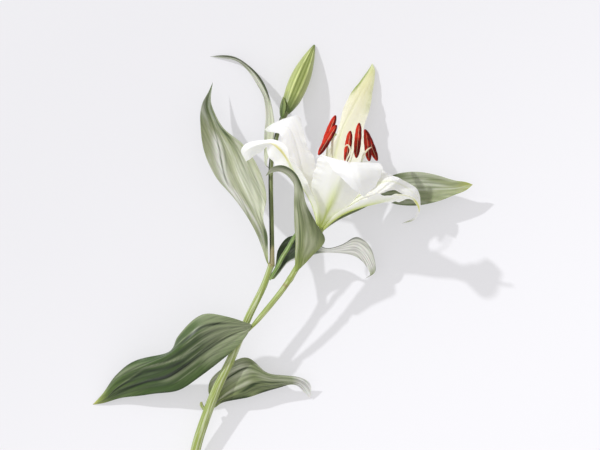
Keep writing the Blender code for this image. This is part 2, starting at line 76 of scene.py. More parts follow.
BUD_STALK = (
    (-9.2, 10.9, 40.1, 2.2),
    (-9.4, 14, 40, 1.8),
    (-9.8, 41, 38.5, 1.7),
    (-10.4, 71, 35, 1.7),
    (-9.8, 86, 32, 1.7),
    (-6.3, 103, 28, 1.7),
    (-3.5, 113, 25.8, 1.9),
    (0.3, 120.4, 24.6, 2.3),
)
FLOWER_PEDICEL = (
    (-24.7, -37.2, 36, 0.9),
    (-19, -30.5, 37.4, 1.9),
    (-4.6, -13, 40.5, 2.1),
    (3, -2.5, 42, 2.2),
    (3.8, -1.3, 42.1, 2.6),
    (4.6, 0, 42.3, 2.2),
    (11, 11, 43.5, 2.2),
    (19.5, 25, 45, 2.2),
    (23.3, 31, 45.7, 2.7),
    (25.2, 34.4, 46, 3.2),
)
SIDE_STALK = (
    (-7.0, 2.5, 40, 0.9),
    (-5.2, 8, 40.5, 1.4),
    (-2, 14.5, 41.3, 1.6),
    (1.2, 19.4, 42.2, 1.6),
    (1.8, 20.4, 42.4, 1.8),
    (2.4, 21.4, 42.6, 1.6),
    (6, 28, 44, 1.4),
    (9, 34, 45.5, 0.5),
)
LEAF_STUB = (
    (-62.1, -98.5, 15.8, 1.2),
    (-62.3, -96, 16.6, 1.3),
    (-62.3, -93.8, 17.6, 0.8),
)
# Where the ends of each stalk run into the pieces that it joins.
BUD_STALK_ENDS = ((-9.6, 8.0, 39.9), (1.1, 122.4, 24))
PEDICEL_ENDS = ((-27.4, -40, 34.6), (25.8, 36, 46.1))
SIDE_STALK_END = (-11.3, -2, 39)
LEAF_STUB_END = (-59.5, -100.5, 15.0)
PEDICEL_NODE = 0.475             # share of the pedicel's length where its node sits
SIDE_NODE = 0.53
PAPERY_END = 0.14                # the bud stalk is dry and papery below this share
BROWN = "8a6a4c"                 # dry skin at a node
STRAW = "cbb791"                 # dry papery skin

# ---------------------------------------------------------------- closed bud
BUD_BASE = (0.7, 121.2, 24.4)
BUD_TIP = (21.8, 173.5, 1.2)
BUD_PROFILE = (                  # share of the length, radius
    (0.0, 2.6),
    (0.06, 4.2),
    (0.2, 6.2),
    (0.4, 7.2),
    (0.6, 6.6),
    (0.8, 4.3),
    (0.93, 2.1),
    (1.0, 0.7),
)
BUD_LOBES = 0.05                 # how far the three outer segments swell past round

# ---------------------------------------------------------------- leaves
# Each row crosses a blade from its left edge to its right edge, seen along the way it grows.
LEAF_LOWER_LEFT = (
    ((-25, -37.5, 38.3), (-24.7, -37, 38.7), (-24.5, -36.5, 39), (-24, -35.8, 39), (-23.5, -35, 38.8)),
    ((-34, -50, 37), (-38, -45, 38.5), (-41, -41, 41), (-42, -35, 45), (-40.5, -29, 47)),
    ((-48.5, -63, 34), (-54, -56, 36.5), (-58, -50, 41), (-59, -38, 50), (-60, -27, 45)),
    ((-64, -74.5, 29), (-70, -68, 32), (-74, -62, 38), (-73, -48, 49), (-78, -43, 41)),
    ((-80, -85, 23), (-85, -78, 26), (-89, -71, 32), (-88, -58.5, 41), (-86, -55, 35)),
    ((-100, -88, 16), (-103, -82, 19), (-106, -76, 24), (-109, -68, 29), (-110, -62, 27)),
    ((-120, -91, 9), (-123, -88, 11), (-125, -84, 14), (-126, -78, 16), (-126, -73, 14)),
    ((-136.5, -96, 3), (-137, -94.5, 4), (-137.5, -93.5, 5), (-137, -90.5, 5.5), (-136.5, -88, 4.5)),
    ((-145.5, -97.5, 0.4),) * 5,
)
LEAF_LOWER_RIGHT = (
    ((-53.9, -97, 13), (-53.5, -97.3, 13.2), (-53.1, -97.6, 13.3), (-52.7, -98, 13.4), (-52.3, -98.4, 13)),
    ((-57.5, -88, 9), (-55, -90, 9.5), (-52, -92.5, 11), (-50, -94, 12.5), (-48, -95, 13)),
    ((-55.5, -77, 10), (-51, -81, 11.5), (-45.5, -85, 13.5), (-42, -89.5, 14), (-39, -93, 12.5)),
    ((-44, -67, 13), (-41, -72, 15.5), (-36.5, -78.5, 18), (-32, -85.5, 16.5), (-28, -90.5, 13)),
    ((-28.5, -60.5, 19), (-27, -66.5, 22), (-24.5, -73.5, 20.5), (-21.5, -81, 18), (-18, -87.5, 14)),
    ((-14, -71, 20), (-12.5, -73, 22), (-11, -76, 21), (-9, -80, 19), (-6, -84, 15)),
    ((-1, -73.5, 18), (0, -75, 19), (1.5, -77, 19), (2.5, -79, 18), (3.5, -80.5, 16)),
    ((11.5, -75.7, 15), (10.9, -77.2, 15.5), (10.1, -78.7, 15.5), (9.4, -80.2, 15), (8.7, -81.7, 14)),
    ((18.6, -81, 9), (17.2, -82.5, 9), (15.8, -84, 9), (14.4, -85.3, 8.8), (13.1, -86.6, 8.5)),
    ((19.5, -93.5, 1),) * 5,
)
LEAF_TALL_LEFT = (
    ((-13.4, 11, 40), (-12.9, 11, 39.2), (-12.5, 11, 40)),
    ((-15.9, 20, 42), (-14.2, 20.5, 41), (-12.5, 20.5, 43)),
    ((-19.6, 30, 44), (-16, 31.5, 41), (-12.2, 31.5, 46)),
    ((-26, 41.5, 46), (-20, 41.5, 42), (-15.5, 42.5, 46)),
    ((-37.5, 57.5, 46), (-27, 55, 41), (-13.5, 59, 44)),
    ((-50, 73, 42), (-35, 70, 36), (-19, 79, 41)),
    ((-60, 94.5, 36), (-43, 91, 29), (-30, 96.5, 34)),
    ((-62.5, 115.5, 29), (-53, 112.5, 24), (-46, 110, 27)),
    ((-61, 128.5, 22), (-58, 126.5, 19), (-54.5, 127, 20)),
    ((-57, 137.5, 16), (-56, 137.5, 15.5), (-55, 137, 16)),
    ((-54, 145, 12),) * 3,
)
LEAF_ARCHING_TOP = (
    ((-14.6, 81.5, 31.5), (-14.2, 81.5, 32.5), (-13.6, 81, 33.5)),
    ((-15.5, 93.5, 26), (-13.5, 94, 25), (-11, 93, 29)),
    ((-15.5, 105.5, 21), (-12.5, 106.5, 19), (-8, 106, 23)),
    ((-14.5, 117.5, 17), (-12, 119, 15), (-8.5, 119.5, 20)),
    ((-16, 132, 14), (-13.5, 133, 12), (-11.5, 132.5, 18)),
    ((-21, 142.5, 11), (-19, 144.5, 9), (-17, 145.5, 14)),
    ((-27.5, 153, 8), (-26.5, 155, 6.5), (-25.5, 156, 10)),
    ((-36.5, 161, 5), (-36, 162.5, 4), (-36, 163.5, 6.5)),
    ((-47, 163.5, 2.4), (-47, 164.7, 2), (-46.5, 165.8, 3)),
    ((-57, 165, 0.4),) * 3,
)
LEAF_FRONT = (
    ((7.5, 7.5, 46.2), (9.5, 5.5, 46.8), (11.5, 7, 46.5)),
    ((7.5, 16, 48), (11, 15, 50.5), (19, 14.5, 49.5)),
    ((7.5, 27, 52.5), (13, 25, 57), (29, 26.5, 55)),
    ((7, 40, 60.5), (12.5, 39.5, 64), (23, 38.5, 63)),
    ((6.5, 53, 68), (10.5, 53, 72), (15.5, 53, 72)),
    ((7, 65, 77), (9.5, 65.5, 80), (12.5, 65, 81)),
    ((3.5, 71, 83), (5.5, 74, 85), (7.5, 75, 87)),
    ((-2.5, 75.5, 84), (-1.5, 77.5, 86), (-0.5, 80, 88)),
    ((-8.5, 75, 81), (-8.5, 77, 82), (-9, 78.5, 83)),
    ((-13.5, 72.5, 77),) * 3,
)
LEAF_RIGHT_LOW = (
    ((-9.2, 0.5, 37.3), (-8.9, -1, 37), (-8.7, -2, 36.6)),
    ((-6.5, 11, 36), (-6, 5, 33.5), (-5, 1.5, 33.5)),
    ((-4.5, 21, 34), (0, 13.5, 30), (1.5, 9.5, 32)),
    ((3.5, 30, 33), (9, 21, 28), (11, 13.5, 31)),
    ((17, 28.5, 35), (19, 22.5, 30), (20.5, 16, 30)),
    ((29, 21, 42), (30, 19.5, 34), (31, 18, 27)),
    ((41.5, 24, 41), (42, 21, 34), (42.5, 17, 29)),
    ((52.5, 29.5, 37), (51.5, 22, 33), (51, 15, 29)),
    ((62.5, 22.5, 29), (58, 17.5, 28), (56, 12, 26)),
    ((67, 9, 19), (63.5, 8.5, 20), (61, 6, 18)),
    ((66.5, 2, 11), (65, 2, 11.5), (63.5, 0.5, 11)),
    ((59.5, -2.5, 5),) * 3,
)
LEAF_RIGHT_BROAD = (
    ((22, 31.5, 40.5), (22.7, 30.5, 40.2), (23.2, 30, 40.5)),
    ((36, 45.5, 31), (37.5, 43, 30), (39.5, 41.5, 31)),
    ((51.5, 56.5, 23), (54, 53, 22), (56, 49.5, 24)),
    ((68, 68.5, 18), (70.5, 61.5, 16), (71.5, 55.5, 19)),
    ((81, 75.5, 18), (83.5, 64.5, 15), (85, 53, 18)),
    ((95.5, 77.5, 20), (97.5, 65.5, 17), (98.5, 52.5, 19)),
    ((111, 75.5, 21), (113, 65.5, 18), (113.5, 55.5, 20)),
    ((126, 71, 21), (126, 65.5, 20), (126, 60.5, 21)),
    ((134, 70, 20), (134, 67, 19.5), (134, 63.5, 19.5)),
    ((139.5, 68, 19),) * 3,
)
BUD_BRACT = (
    ((-3.2, 117.8, 23), (-2.9, 118, 26.6), (-0.8, 118.3, 28.2)),
    ((-4.1, 122.3, 20.5), (-3.2, 122.8, 25.8), (0.4, 123.3, 29.6)),
    ((-3.6, 127.6, 19.8), (-2.4, 127.8, 25), (0.4, 128.2, 28.8)),
    ((-1.4, 133.2, 25),) * 3,
)

# ---------------------------------------------------------------- flower
FLOWER_BASE = (25.5, 35, 46)
AXIS = (0.362, 0.895, 0.259)     # the way the trumpet opens
FRONT = (-0.097, -0.24, 0.966)   # across the axis, away from the surface
RIGHT = (0.927, -0.375, 0.0)     # across both
TUBE_REACHES = (1.5, 8, 18, 30)  # places along the axis that shape the closed part
RIGHT_RADII = (2.6, 5.2, 11.5, 23)    # the trumpet's half width there, to the right
LEFT_RADII = (2.6, 6.2, 14.5, 29)     # to the left
FRONT_RADII = (2.6, 4.9, 10.5, 21.5)  # its half depth there
INNER_SPANS = (36, 42, 42, 38)   # half the angle that an inner tepal covers there, degrees
OUTER_SPANS = (26, 28, 28, 24)
LAYER_START = 0.5               # inner tepals run this far inside the trumpet, outer ones outside
LAYER_GROWTH = 0.03

# The free part of each tepal, as rows from its left edge to its right edge.
TEPAL_FRONT = (
    ((21.5, 77.5, 82), (39.5, 71, 89), (61, 72, 84)),
    ((25, 86.5, 90), (45, 81.5, 102), (67, 81.5, 93)),
    ((28.5, 83.5, 96), (47, 78, 110), (68, 77.5, 99)),
    ((36, 74.5, 103), (49.5, 70.5, 112), (66.5, 70, 101)),
    ((45, 65, 106), (52.5, 63.5, 107), (61, 63, 101)),
    ((55.5, 57.5, 99),) * 3,
)
TEPAL_RIGHT_FRONT = (
    ((63, 59, 84), (68, 54.5, 74), (72, 54.5, 60)),
    ((75, 58.8, 88), (78, 57.5, 83), (81, 54.2, 70)),
    ((82, 59.6, 90), (84, 58.3, 87), (85, 56.2, 81)),
    ((88.6, 58.3, 88), (89, 57.2, 86.5), (89.2, 56, 85)),
    ((92.6, 55.6, 83), (92.2, 54.9, 82), (91.7, 54.2, 81)),
    ((95.7, 51.4, 76), (95.1, 51, 75.5), (94.4, 50.7, 75)),
    ((96.2, 46.3, 68),) * 3,
)
TEPAL_RIGHT_BACK = (
    ((57, 86, 32), (63.5, 66.5, 36), (67, 59, 44)),
    ((74, 77, 33), (75.5, 70, 39), (77.5, 63.5, 43)),
    ((85, 71.5, 36), (86.5, 66.5, 39), (87, 60, 41)),
    ((95, 66.3, 36), (94, 61.5, 37.5), (91.8, 56.8, 38)),
    ((98.8, 60.3, 32.5), (97.4, 57.9, 33.5), (95.5, 56, 33.5)),
    ((100, 53.5, 26), (98.9, 53.3, 27), (97.8, 53.2, 27)),
    ((99.8, 47.3, 17), (98.9, 47.6, 18), (98, 48, 18)),
    ((96.2, 41.2, 6), (95.9, 42, 6.5), (95.5, 42.9, 6.5)),
    ((87.3, 39.2, 0.6),) * 3,
)
TEPAL_BACK = (
    ((28, 88, 30), (37, 89.5, 25.5), (59.5, 92, 26)),
    ((37.5, 103, 21), (42, 108, 21.5), (58, 108, 21.5)),
    ((43, 124, 14.5), (50, 124.5, 15.5), (63, 124, 14.5)),
    ((49, 136.5, 9.5), (56.5, 137, 10.5), (65, 135, 9)),
    ((57.5, 148, 5.5), (61.5, 147.5, 6.3), (67, 147.5, 4.8)),
    ((62.5, 155, 3), (64.5, 154.5, 3.4), (67.5, 155, 2.8)),
    ((65.5, 160, 0.6),) * 3,
)
TEPAL_LEFT_BACK = (
    ((1.5, 83, 50), (10, 91.5, 40), (20, 89.5, 34)),
    ((-1.5, 94.5, 46), (7, 101.5, 38), (15.5, 98, 34)),
    ((-3, 102, 42), (3.5, 109, 37), (13, 110, 33)),
    ((-4.5, 105, 39), (-0.5, 111, 36), (10.5, 118.3, 33)),
    ((-9, 106, 35.5), (-6.5, 110, 35), (0, 116.2, 33)),
    ((-12.5, 106.5, 33.5), (-12, 109, 33.5), (-9.5, 112.5, 33)),
    ((-15.5, 108, 31),) * 3,
)
TEPAL_LEFT_FRONT = (
    ((-2.5, 75, 66), (5.5, 78, 72), (12.5, 75.5, 74)),
    ((-7, 81, 66), (0.5, 87, 76), (4.5, 84, 79)),
    ((-11.5, 87.5, 67), (-4, 92.5, 79), (2, 92.5, 82)),
    ((-12.5, 93, 68), (-9, 96, 79), (-4, 97.5, 80)),
    ((-16, 91, 64), (-17.5, 95.5, 74), (-14.5, 98.5, 75)),
    ((-23.5, 86.5, 58), (-25.5, 92.5, 66), (-27, 96.5, 66)),
    ((-27.5, 84, 54), (-29.5, 88.5, 57), (-31.5, 91, 58)),
    ((-27.5, 83, 52),) * 3,
)
# name, angle round the axis from the front towards the right, whorl, free part
TEPALS = (
    ("tepal_front", 0, "inner", TEPAL_FRONT),
    ("tepal_right_front", 60, "outer", TEPAL_RIGHT_FRONT),
    ("tepal_right_back", 130, "inner", TEPAL_RIGHT_BACK),
    ("tepal_back", 193, "outer", TEPAL_BACK),
    ("tepal_left_back", 245, "inner", TEPAL_LEFT_BACK),
    ("tepal_left_front", 300, "outer", TEPAL_LEFT_FRONT),
)

# Each anther's upper and lower end, and the angle at which its filament starts.
STAMENS = (
    ((36.5, 116.5, 66), (27, 92.5, 62), 255),
    ((37, 109, 76), (24, 87.5, 74), 305),
    ((46.5, 104.5, 82), (43.5, 82, 76), 0),
    ((53, 110.5, 76), (51, 85.5, 72), 40),
    ((58, 105.5, 70), (60.5, 83.5, 66), 80),
    ((57.5, 107, 58), (66.5, 84, 60), 120),
)
# Most filaments meet their anther behind its middle.  These two pass in front of it.
FRONT_FILAMENTS = {
    3: ((38.5, 64, 67), (42.6, 75, 75.5), (43.4, 82.5, 80.6), (46.6, 90.5, 82.2), (44.6, 94.6, 83),
        (42.4, 93, 82.4)),
    5: ((48, 70, 60), (54.2, 80, 64.5), (56, 87.5, 70), (59.3, 91.8, 72), (61.8, 93.4, 71.2)),
}
STYLE = (33.8, 84, 56)                # a point that the style bends through
STIGMA = (34.5, 104.5, 57)
STIGMA_PROFILE = ((0, 0.9), (0.86, 1.2), (0.94, 2.9), (1, 1.7))   # share of the way there, radius
ANTHER_LENGTH = 24.0                  # that the pollen's pattern is scaled to
ANTHER_BLUNT = 2.6                    # 2 is an ellipse from the side; more is blunter at the ends
FILAMENT_FOOT = (7, 2.2)              # place along the flower's axis, distance from it
FOOT_RADIUS = 0.4
FILAMENT_THROAT = (18, 5)
FILAMENT_BEND = 0.55                  # share of the way from throat to anther where it bends
OVARY = ((1.5, 0.7), (6, 1.1), (14, 1.7), (24, 1.0))   # place along the flower's axis, radius

BUD_TURN = 0.06                       # how far the bud is rolled, radians
RIM_TURN = 0.42                       # from a seam of the bud to the raised rims beside it, radians
BUD_STEPS = 140
CAMERA_OVER = (14.0, 40.4)            # the point of the frame under the camera
SOFTBOX_AT = (-0.25, 0.2, 1.6)        # metres
FLOOR_REACH = 6.0                     # metres from the middle to each side
GLOW_WAY = (0.6, -0.8, 0.0)           # the floor's own light grows this way
GLOW_SPAN = 0.25                      # metres from the middle to where it stops growing
KEY_WAY = (0.783, -0.622)             # the way the key light travels over the floor

# ---------------------------------------------------------------- looks of each blade
# A place across a blade runs from -1 to 1, in the order of its rows, and a place along it from 0 at
# the base to 1 at the tip.  root is where the blade runs into its stalk, in mm.  wave and period are
# the height and length of its margin's waves, in mm, and depth is how deep its grooves are.  Each
# groove is (place across, strength); it is darkened in the colour groove, partly the darker green of
# its vein and partly painted shade in the crease, and contrast is how dark they are.  glare is how
# much of the blade is clouded with painted highlight, and through how strongly the blade glows, an
# emission painted in for light coming through it.
# dark and pale are soft strokes, each (across, along) at its start and at its end, width, strength.
# dark strokes are painted shade in folds, creases and turned margins, in the colour groove; pale
# strokes are painted highlights, and painted light over cast shadows, in the colour light.  upper
# and under are the two sides' colours, base to tip.
LEAVES = (
    dict(
        node="leaf_lower_left", slot="leaf_dark", rows=LEAF_LOWER_LEFT, root=(-27.2, -35.6, 35.6),
        wave=0.6, period=46, depth=1.2, contrast=0.5, glare=0.08, through=0.0, light="a9b290",
        groove="122309",
        grooves=((-0.62, 0.4), (-0.25, 1.0), (0.06, 0.5), (0.33, 0.7), (0.6, 0.6), (0.82, 0.3)),
        dark=(
            (-0.05, 0.18, -0.2, 0.42, 0.06, 0.5), (-0.2, 0.38, -0.17, 0.62, 0.1, 0.85),
            (-0.18, 0.58, -0.42, 0.86, 0.06, 0.7), (0.02, 0.4, 0.28, 0.66, 0.05, 0.6),
            (0.28, 0.62, -0.12, 0.92, 0.05, 0.7), (0.62, 0.15, 0.6, 0.42, 0.06, 0.6),
            (-0.97, 0.2, -0.97, 0.75, 0.06, 0.5), (0.95, 0.6, 0.95, 0.9, 0.05, 0.5),
        ),
        pale=(
            (0.1, 0.3, 0.38, 0.64, 0.035, 0.6), (0.38, 0.62, -0.04, 0.9, 0.03, 0.4),
            (-0.36, 0.28, -0.36, 0.56, 0.1, 0.55), (0.2, 0.0, 0.35, 0.28, 0.7, 0.6),
            (-0.4, 0.0, -0.5, 0.33, 0.35, 0.65), (0.42, 0.08, 0.46, 0.4, 0.022, 0.95),
            (0.2, 0.08, 0.22, 0.42, 0.022, 0.9), (0.6, 0.06, 0.7, 0.45, 0.018, 0.8),
            (-0.12, 0.1, -0.05, 0.4, 0.02, 0.8), (-0.6, 0.12, -0.62, 0.5, 0.02, 0.6),
            (0.12, 0.4, 0.42, 0.62, 0.018, 0.8), (0.6, 0.45, 0.55, 0.7, 0.02, 0.6),
            (0.97, 0.15, 0.97, 0.5, 0.04, 0.5), (0.6, 0.62, 0.8, 0.82, 0.15, 0.4),
        ),
        upper=(
            (0, "99a080"), (0.12, "7b8960"), (0.33, "4b622e"), (0.6, "3f5926"), (0.88, "51672e"),
            (0.96, "8d994f"), (1, "c6c46e"),
        ),
        under=((0, "8a9571"), (1, "7f8d66")),
    ),
    dict(
        node="leaf_lower_right", slot="leaf_sage", rows=LEAF_LOWER_RIGHT, root=(-55.8, -98.6, 15.5),
        wave=0.5, period=40, depth=0.9, contrast=0.4, glare=0.15, through=0.08, light="c9ccb8",
        groove="2c3a1b",
        grooves=((-0.7, 0.4), (-0.38, 1.0), (-0.1, 0.5), (0.15, 0.5), (0.42, 0.9), (0.7, 0.8)),
        dark=(
            (0.55, 0.28, 0.45, 0.44, 0.07, 0.85), (0.36, 0.45, 0.34, 0.64, 0.05, 0.7),
            (0.9, 0.1, 0.95, 0.32, 0.2, 1.0), (0.97, 0.4, 0.97, 0.66, 0.1, 0.9),
            (-0.3, 0.2, -0.42, 0.45, 0.05, 0.6), (-0.75, 0.3, -0.85, 0.52, 0.3, 0.15),
            (-0.97, 0.62, -0.97, 0.76, 0.1, 0.5),
        ),
        pale=(
            (0.0, 0.48, 0.1, 0.82, 0.25, 0.4), (0.32, 0.0, 0.25, 0.4, 0.1, 0.65),
            (-0.2, 0.1, -0.2, 0.48, 0.06, 0.5), (-0.6, 0.16, -0.5, 0.42, 0.45, 0.95),
            (-0.9, 0.48, -0.9, 0.58, 0.15, 0.6),
        ),
        upper=(
            (0, "a5b174"), (0.15, "7f8b5a"), (0.6, "79835e"), (0.72, "9aa184"), (0.79, "ececea"),
            (1, "fafafa"),
        ),
        under=((0, "b0b694"), (0.8, "c6cab4"), (1, "e0e0dd")),
    ),
    dict(
        node="leaf_tall_left", slot="leaf_sage", rows=LEAF_TALL_LEFT, root=(-10.6, 6.5, 39.7), wave=0.7,
        period=55, depth=0.45, contrast=0.45, glare=0.3, through=0.04, light="eeeeec", groove="4a5835",
        grooves=((-0.92, 0.4), (-0.04, 0.5), (0.28, 0.5), (0.62, 0.6)),
        dark=(
            (-0.6, 0.42, 0.15, 0.92, 0.04, 0.65), (0.45, 0.4, 0.5, 0.7, 0.05, 0.5),
            (0.72, 0.3, 0.75, 0.6, 0.04, 0.4), (0.75, 0.68, 0.35, 0.92, 0.22, 0.75),
            (-0.2, 0.8, -0.1, 0.97, 0.3, 0.5), (0.5, 0.1, 0.7, 0.2, 0.6, 1.0),
            (-0.3, 0.5, 0.3, 0.8, 0.05, 0.4),
        ),
        pale=(
            (-0.85, 0.28, -0.22, 0.7, 0.22, 0.95), (-0.3, 0.12, -0.5, 0.42, 0.2, 0.8),
            (0.45, 0.2, 0.4, 0.55, 0.2, 0.2), (0.15, 0.25, 0.2, 0.5, 0.05, 0.4),
            (0.75, 0.3, 0.75, 0.5, 0.1, 0.2),
        ),
        upper=(
            (0, "a3b070"), (0.12, "b0b695"), (0.4, "aeb395"), (0.7, "999f7c"), (0.86, "6c7652"),
            (1, "56633c"),
        ),
        under=((0, "a3aa88"), (1, "8f9873")),
    ),
    dict(
        node="leaf_arching_top", slot="leaf_sage", rows=LEAF_ARCHING_TOP, root=(-10.3, 79.5, 33.4),
        wave=0.2, period=40, depth=0.3, contrast=0.35, glare=0.5, through=0.04, light="e9eae2",
        groove="333d20",
        grooves=((0.1, 0.6),),
        dark=(
            (0.9, 0.48, 0.6, 0.76, 0.45, 1.0), (0.7, 0.72, 0.5, 1.0, 0.7, 0.7),
            (0.95, 0.2, 0.95, 0.5, 0.12, 0.4),
        ),
        pale=((-0.6, 0.25, -0.7, 0.7, 0.35, 0.8),),
        upper=((0, "b3b998"), (0.4, "ccd0bc"), (0.7, "b3b7a2"), (0.85, "999e8a"), (1, "a9aaa3")),
        under=((0, "5c6744"), (0.6, "4b5733"), (1, "6a7052")),
    ),
    dict(
        node="leaf_front", slot="leaf_sage", rows=LEAF_FRONT, root=(7.2, 4, 43.6), wave=0.3, period=30,
        depth=0.4, contrast=0.4, glare=0.5, through=0.0, light="c9cdb4", groove="48562f",
        grooves=((-0.62, 0.6), (-0.3, 0.9), (0.0, 0.6), (0.32, 0.8), (0.64, 0.5)),
        dark=(
            (0.95, 0.24, 0.95, 0.52, 0.3, 0.6), (-0.12, 0.1, -0.25, 0.36, 0.07, 0.75),
            (0.9, 0.66, 0.8, 0.9, 0.55, 0.85), (0.1, 0.3, 0.1, 0.6, 0.04, 0.4),
        ),
        pale=(
            (-0.7, 0.12, -0.6, 0.5, 0.2, 0.7), (-0.6, 0.6, -0.5, 0.85, 0.5, 0.7),
            (0.45, 0.14, 0.4, 0.3, 0.3, 0.5),
        ),
        upper=(
            (0, "90a545"), (0.1, "889650"), (0.35, "929a73"), (0.6, "8d9471"), (0.75, "9a9c88"),
            (1, "8f917f"),
        ),
        under=((0, "7b8257"), (1, "6f7556")),
    ),
    dict(
        node="leaf_right_low", slot="leaf_sage", rows=LEAF_RIGHT_LOW, root=(-12.6, -1, 38.6), wave=0.4,
        period=34, depth=0.3, contrast=0.35, glare=0.1, through=0.2, light="f0f0ec", groove="242f18",
        grooves=((-0.62, 0.5), (-0.28, 0.8), (0.04, 0.5), (0.38, 0.7), (0.68, 0.4)),
        dark=(
            (-0.95, 0.38, -0.95, 0.68, 0.12, 0.8), (-0.95, 0.7, -0.95, 0.95, 0.15, 0.35),
            (0.9, 0.5, 0.9, 0.8, 0.1, 0.3),
        ),
        pale=((0.2, 0.46, 0.2, 0.86, 0.7, 0.8), (0.95, 0.06, 0.95, 0.38, 0.16, 0.6)),
        # upper runs dark from 0.07 to 0.4: painted shade on the part of the blade that lies in shadow.
        upper=(
            (0, "8a9d4c"), (0.07, "5c6e38"), (0.14, "303e25"), (0.3, "2d3b25"), (0.4, "5f6a50"),
            (0.47, "dadbd0"), (0.84, "e6e7de"), (0.93, "a0aa7c"), (1, "37442a"),
        ),
        under=((0, "5c6a3a"), (0.5, "77805f"), (1, "8c9377")),
    ),
    dict(
        node="leaf_right_broad", slot="leaf_sage", rows=LEAF_RIGHT_BROAD, root=(22.5, 29.5, 44.6),
        wave=0.4, period=42, depth=0.35, contrast=0.35, glare=0.5, through=0.0, light="dde0d2",
        groove="56653f",
        grooves=((-0.66, 0.6), (-0.34, 0.8), (0.0, 1.0), (0.32, 0.7), (0.64, 0.6)),
        dark=((-0.85, 0.4, -0.95, 0.62, 0.25, 0.8), (0.95, 0.45, 0.95, 0.75, 0.06, 0.5)),
        pale=(
            (-0.35, 0.62, -0.2, 0.85, 0.2, 0.6), (0.1, 0.66, 0.05, 0.97, 0.07, 0.6),
            (-0.9, 0.65, -0.9, 0.9, 0.2, 0.4),
        ),
        upper=(
            (0, "707c4e"), (0.35, "6f7b54"), (0.7, "868f6c"), (0.9, "9ea57c"), (0.97, "abb061"),
            (1, "a9ae50"),
        ),
        under=((0, "8f9a72"), (1, "9aa37c")),
    ),
    dict(
        node="bud_bract", slot="leaf_dark", rows=BUD_BRACT, root=(-1.2, 116.5, 25.6), wave=0.0,
        period=20, depth=0.15, contrast=0.4, glare=0.4, through=0.0, light="9aa66c", groove="24330f",
        grooves=((-0.5, 1.0), (0.0, 0.6), (0.5, 0.9)),
        dark=((0.3, 0.2, 0.3, 0.9, 0.1, 0.8), (-0.35, 0.1, -0.3, 0.8, 0.08, 0.7)),
        pale=((-0.8, 0.2, -0.7, 0.8, 0.2, 0.6),),
        upper=((0, "556b2f"), (0.6, "6b7f40"), (1, "838f4a")),
        under=((0, "66783c"), (1, "66783c")),
    ),
)

# For each petal: how green its midrib is outside and inside, the length share where that green
# ends, how wide it is, how far the tip is tinged, and the colours from base to tip outside and
# inside.  Some petals have soft strokes of a tint of their own (yellow), and some glow more than
# the others (glow): an emission painted in to lift their shade, standing in for light through them.
OUTSIDE = ((0, "b5c45c"), (0.04, "ccd78e"), (0.12, "e4e7d0"), (0.25, "e4e5d9"), (0.4, "e1e2df"),
           (1, "dfe0e0"))
INSIDE = ((0, "c3cd84"), (0.12, "e0e5c4"), (0.3, "e0e1d9"), (0.5, "dfdfdf"), (1, "e0e0e1"))
CREAM = ((0, "b9c37a"), (0.15, "d0d3b2"), (0.35, "d8d7c9"), (0.7, "cfccb8"), (0.9, "c6c39a"), (1, "a3ab5a"))
PETAL_LOOKS = {
    "tepal_front": dict(
        outer_rib=0.75, inner_rib=0.3, rib_end=0.6, rib_width=0.2, tip=0.1, outside=OUTSIDE,
        inside=INSIDE,
    ),
    "tepal_right_front": dict(
        outer_rib=1.0, inner_rib=0.3, rib_end=0.75, rib_width=0.45, tip=0.5, outside=OUTSIDE,
        inside=INSIDE, glow=0.2, tint="b3b54e",
        yellow=((-0.9, 0.68, -0.5, 0.8, 0.3, 0.5), (0.0, 0.8, 0.0, 1.0, 1.5, 0.9)),
    ),
    "tepal_right_back": dict(
        outer_rib=0.8, inner_rib=0.3, rib_end=0.9, rib_width=0.12, tip=0.0, outside=OUTSIDE,
        # Its tint darkens the very tip: the tip's own green, deepened with painted shade.
        inside=INSIDE, tint="5f6c30",
        yellow=((0.0, 0.93, 0.0, 1.0, 3.0, 0.95),),
    ),
    "tepal_back": dict(
        outer_rib=0.8, inner_rib=0.25, rib_end=1.0, rib_width=0.1, tip=0.7, outside=CREAM, inside=CREAM,
        tint="6b7f35",
        yellow=((-0.95, 0.8, -0.7, 1.0, 0.3, 1.0), (0.97, 0.66, 0.97, 0.98, 0.3, 0.35)),
    ),
    "tepal_left_back": dict(
        outer_rib=0.5, inner_rib=0.15, rib_end=0.6, rib_width=0.12, tip=0.3, outside=OUTSIDE,
        inside=INSIDE,
    ),
    "tepal_left_front": dict(
        outer_rib=0.8, inner_rib=0.5, rib_end=0.75, rib_width=0.14, tip=0.5, outside=OUTSIDE,
        inside=INSIDE, glow=0.22,
        yellow=((0.1, 0.5, 0.0, 0.66, 0.12, 0.75),),
    ),
}


def linear(code):
    """Linear colour of an sRGB hex value."""
    values = [int(code[i:i + 2], 16) / 255 for i in (0, 2, 4)]
    return [v / 12.92 if v <= 0.04045 else ((v + 0.055) / 1.055) ** 2.4 for v in values]


# ---------------------------------------------------------------- settings
class LilyLeafSettings(bpy.types.PropertyGroup):
    """Leaf blades"""
    thickness: FloatProperty(name="Thickness", description="Of a blade at its midrib",
                             default=0.6 * MM, min=0.2 * MM, max=1.0 * MM, unit="LENGTH")
    edge: FloatProperty(name="Edge", description="Thickness of a blade near its edge",
                        default=0.25 * MM, min=0.1 * MM, max=0.5 * MM, unit="LENGTH")
    groove_width: FloatProperty(name="Groove width",
                                description="Of a groove, as a share of half the blade",
                                default=0.075, min=0.02, max=0.2, subtype="FACTOR")
    vein_spacing: FloatProperty(name="Vein spacing", default=1.3 * MM, unit="LENGTH",
                                description="Between the fine veins; drawn coarser than the "
                                "real 0.5 mm, so that they show")
    wax: FloatProperty(name="Wax", description="Strength of the waxy coat", default=0.15, min=0.0,
                       max=1.0, subtype="FACTOR")


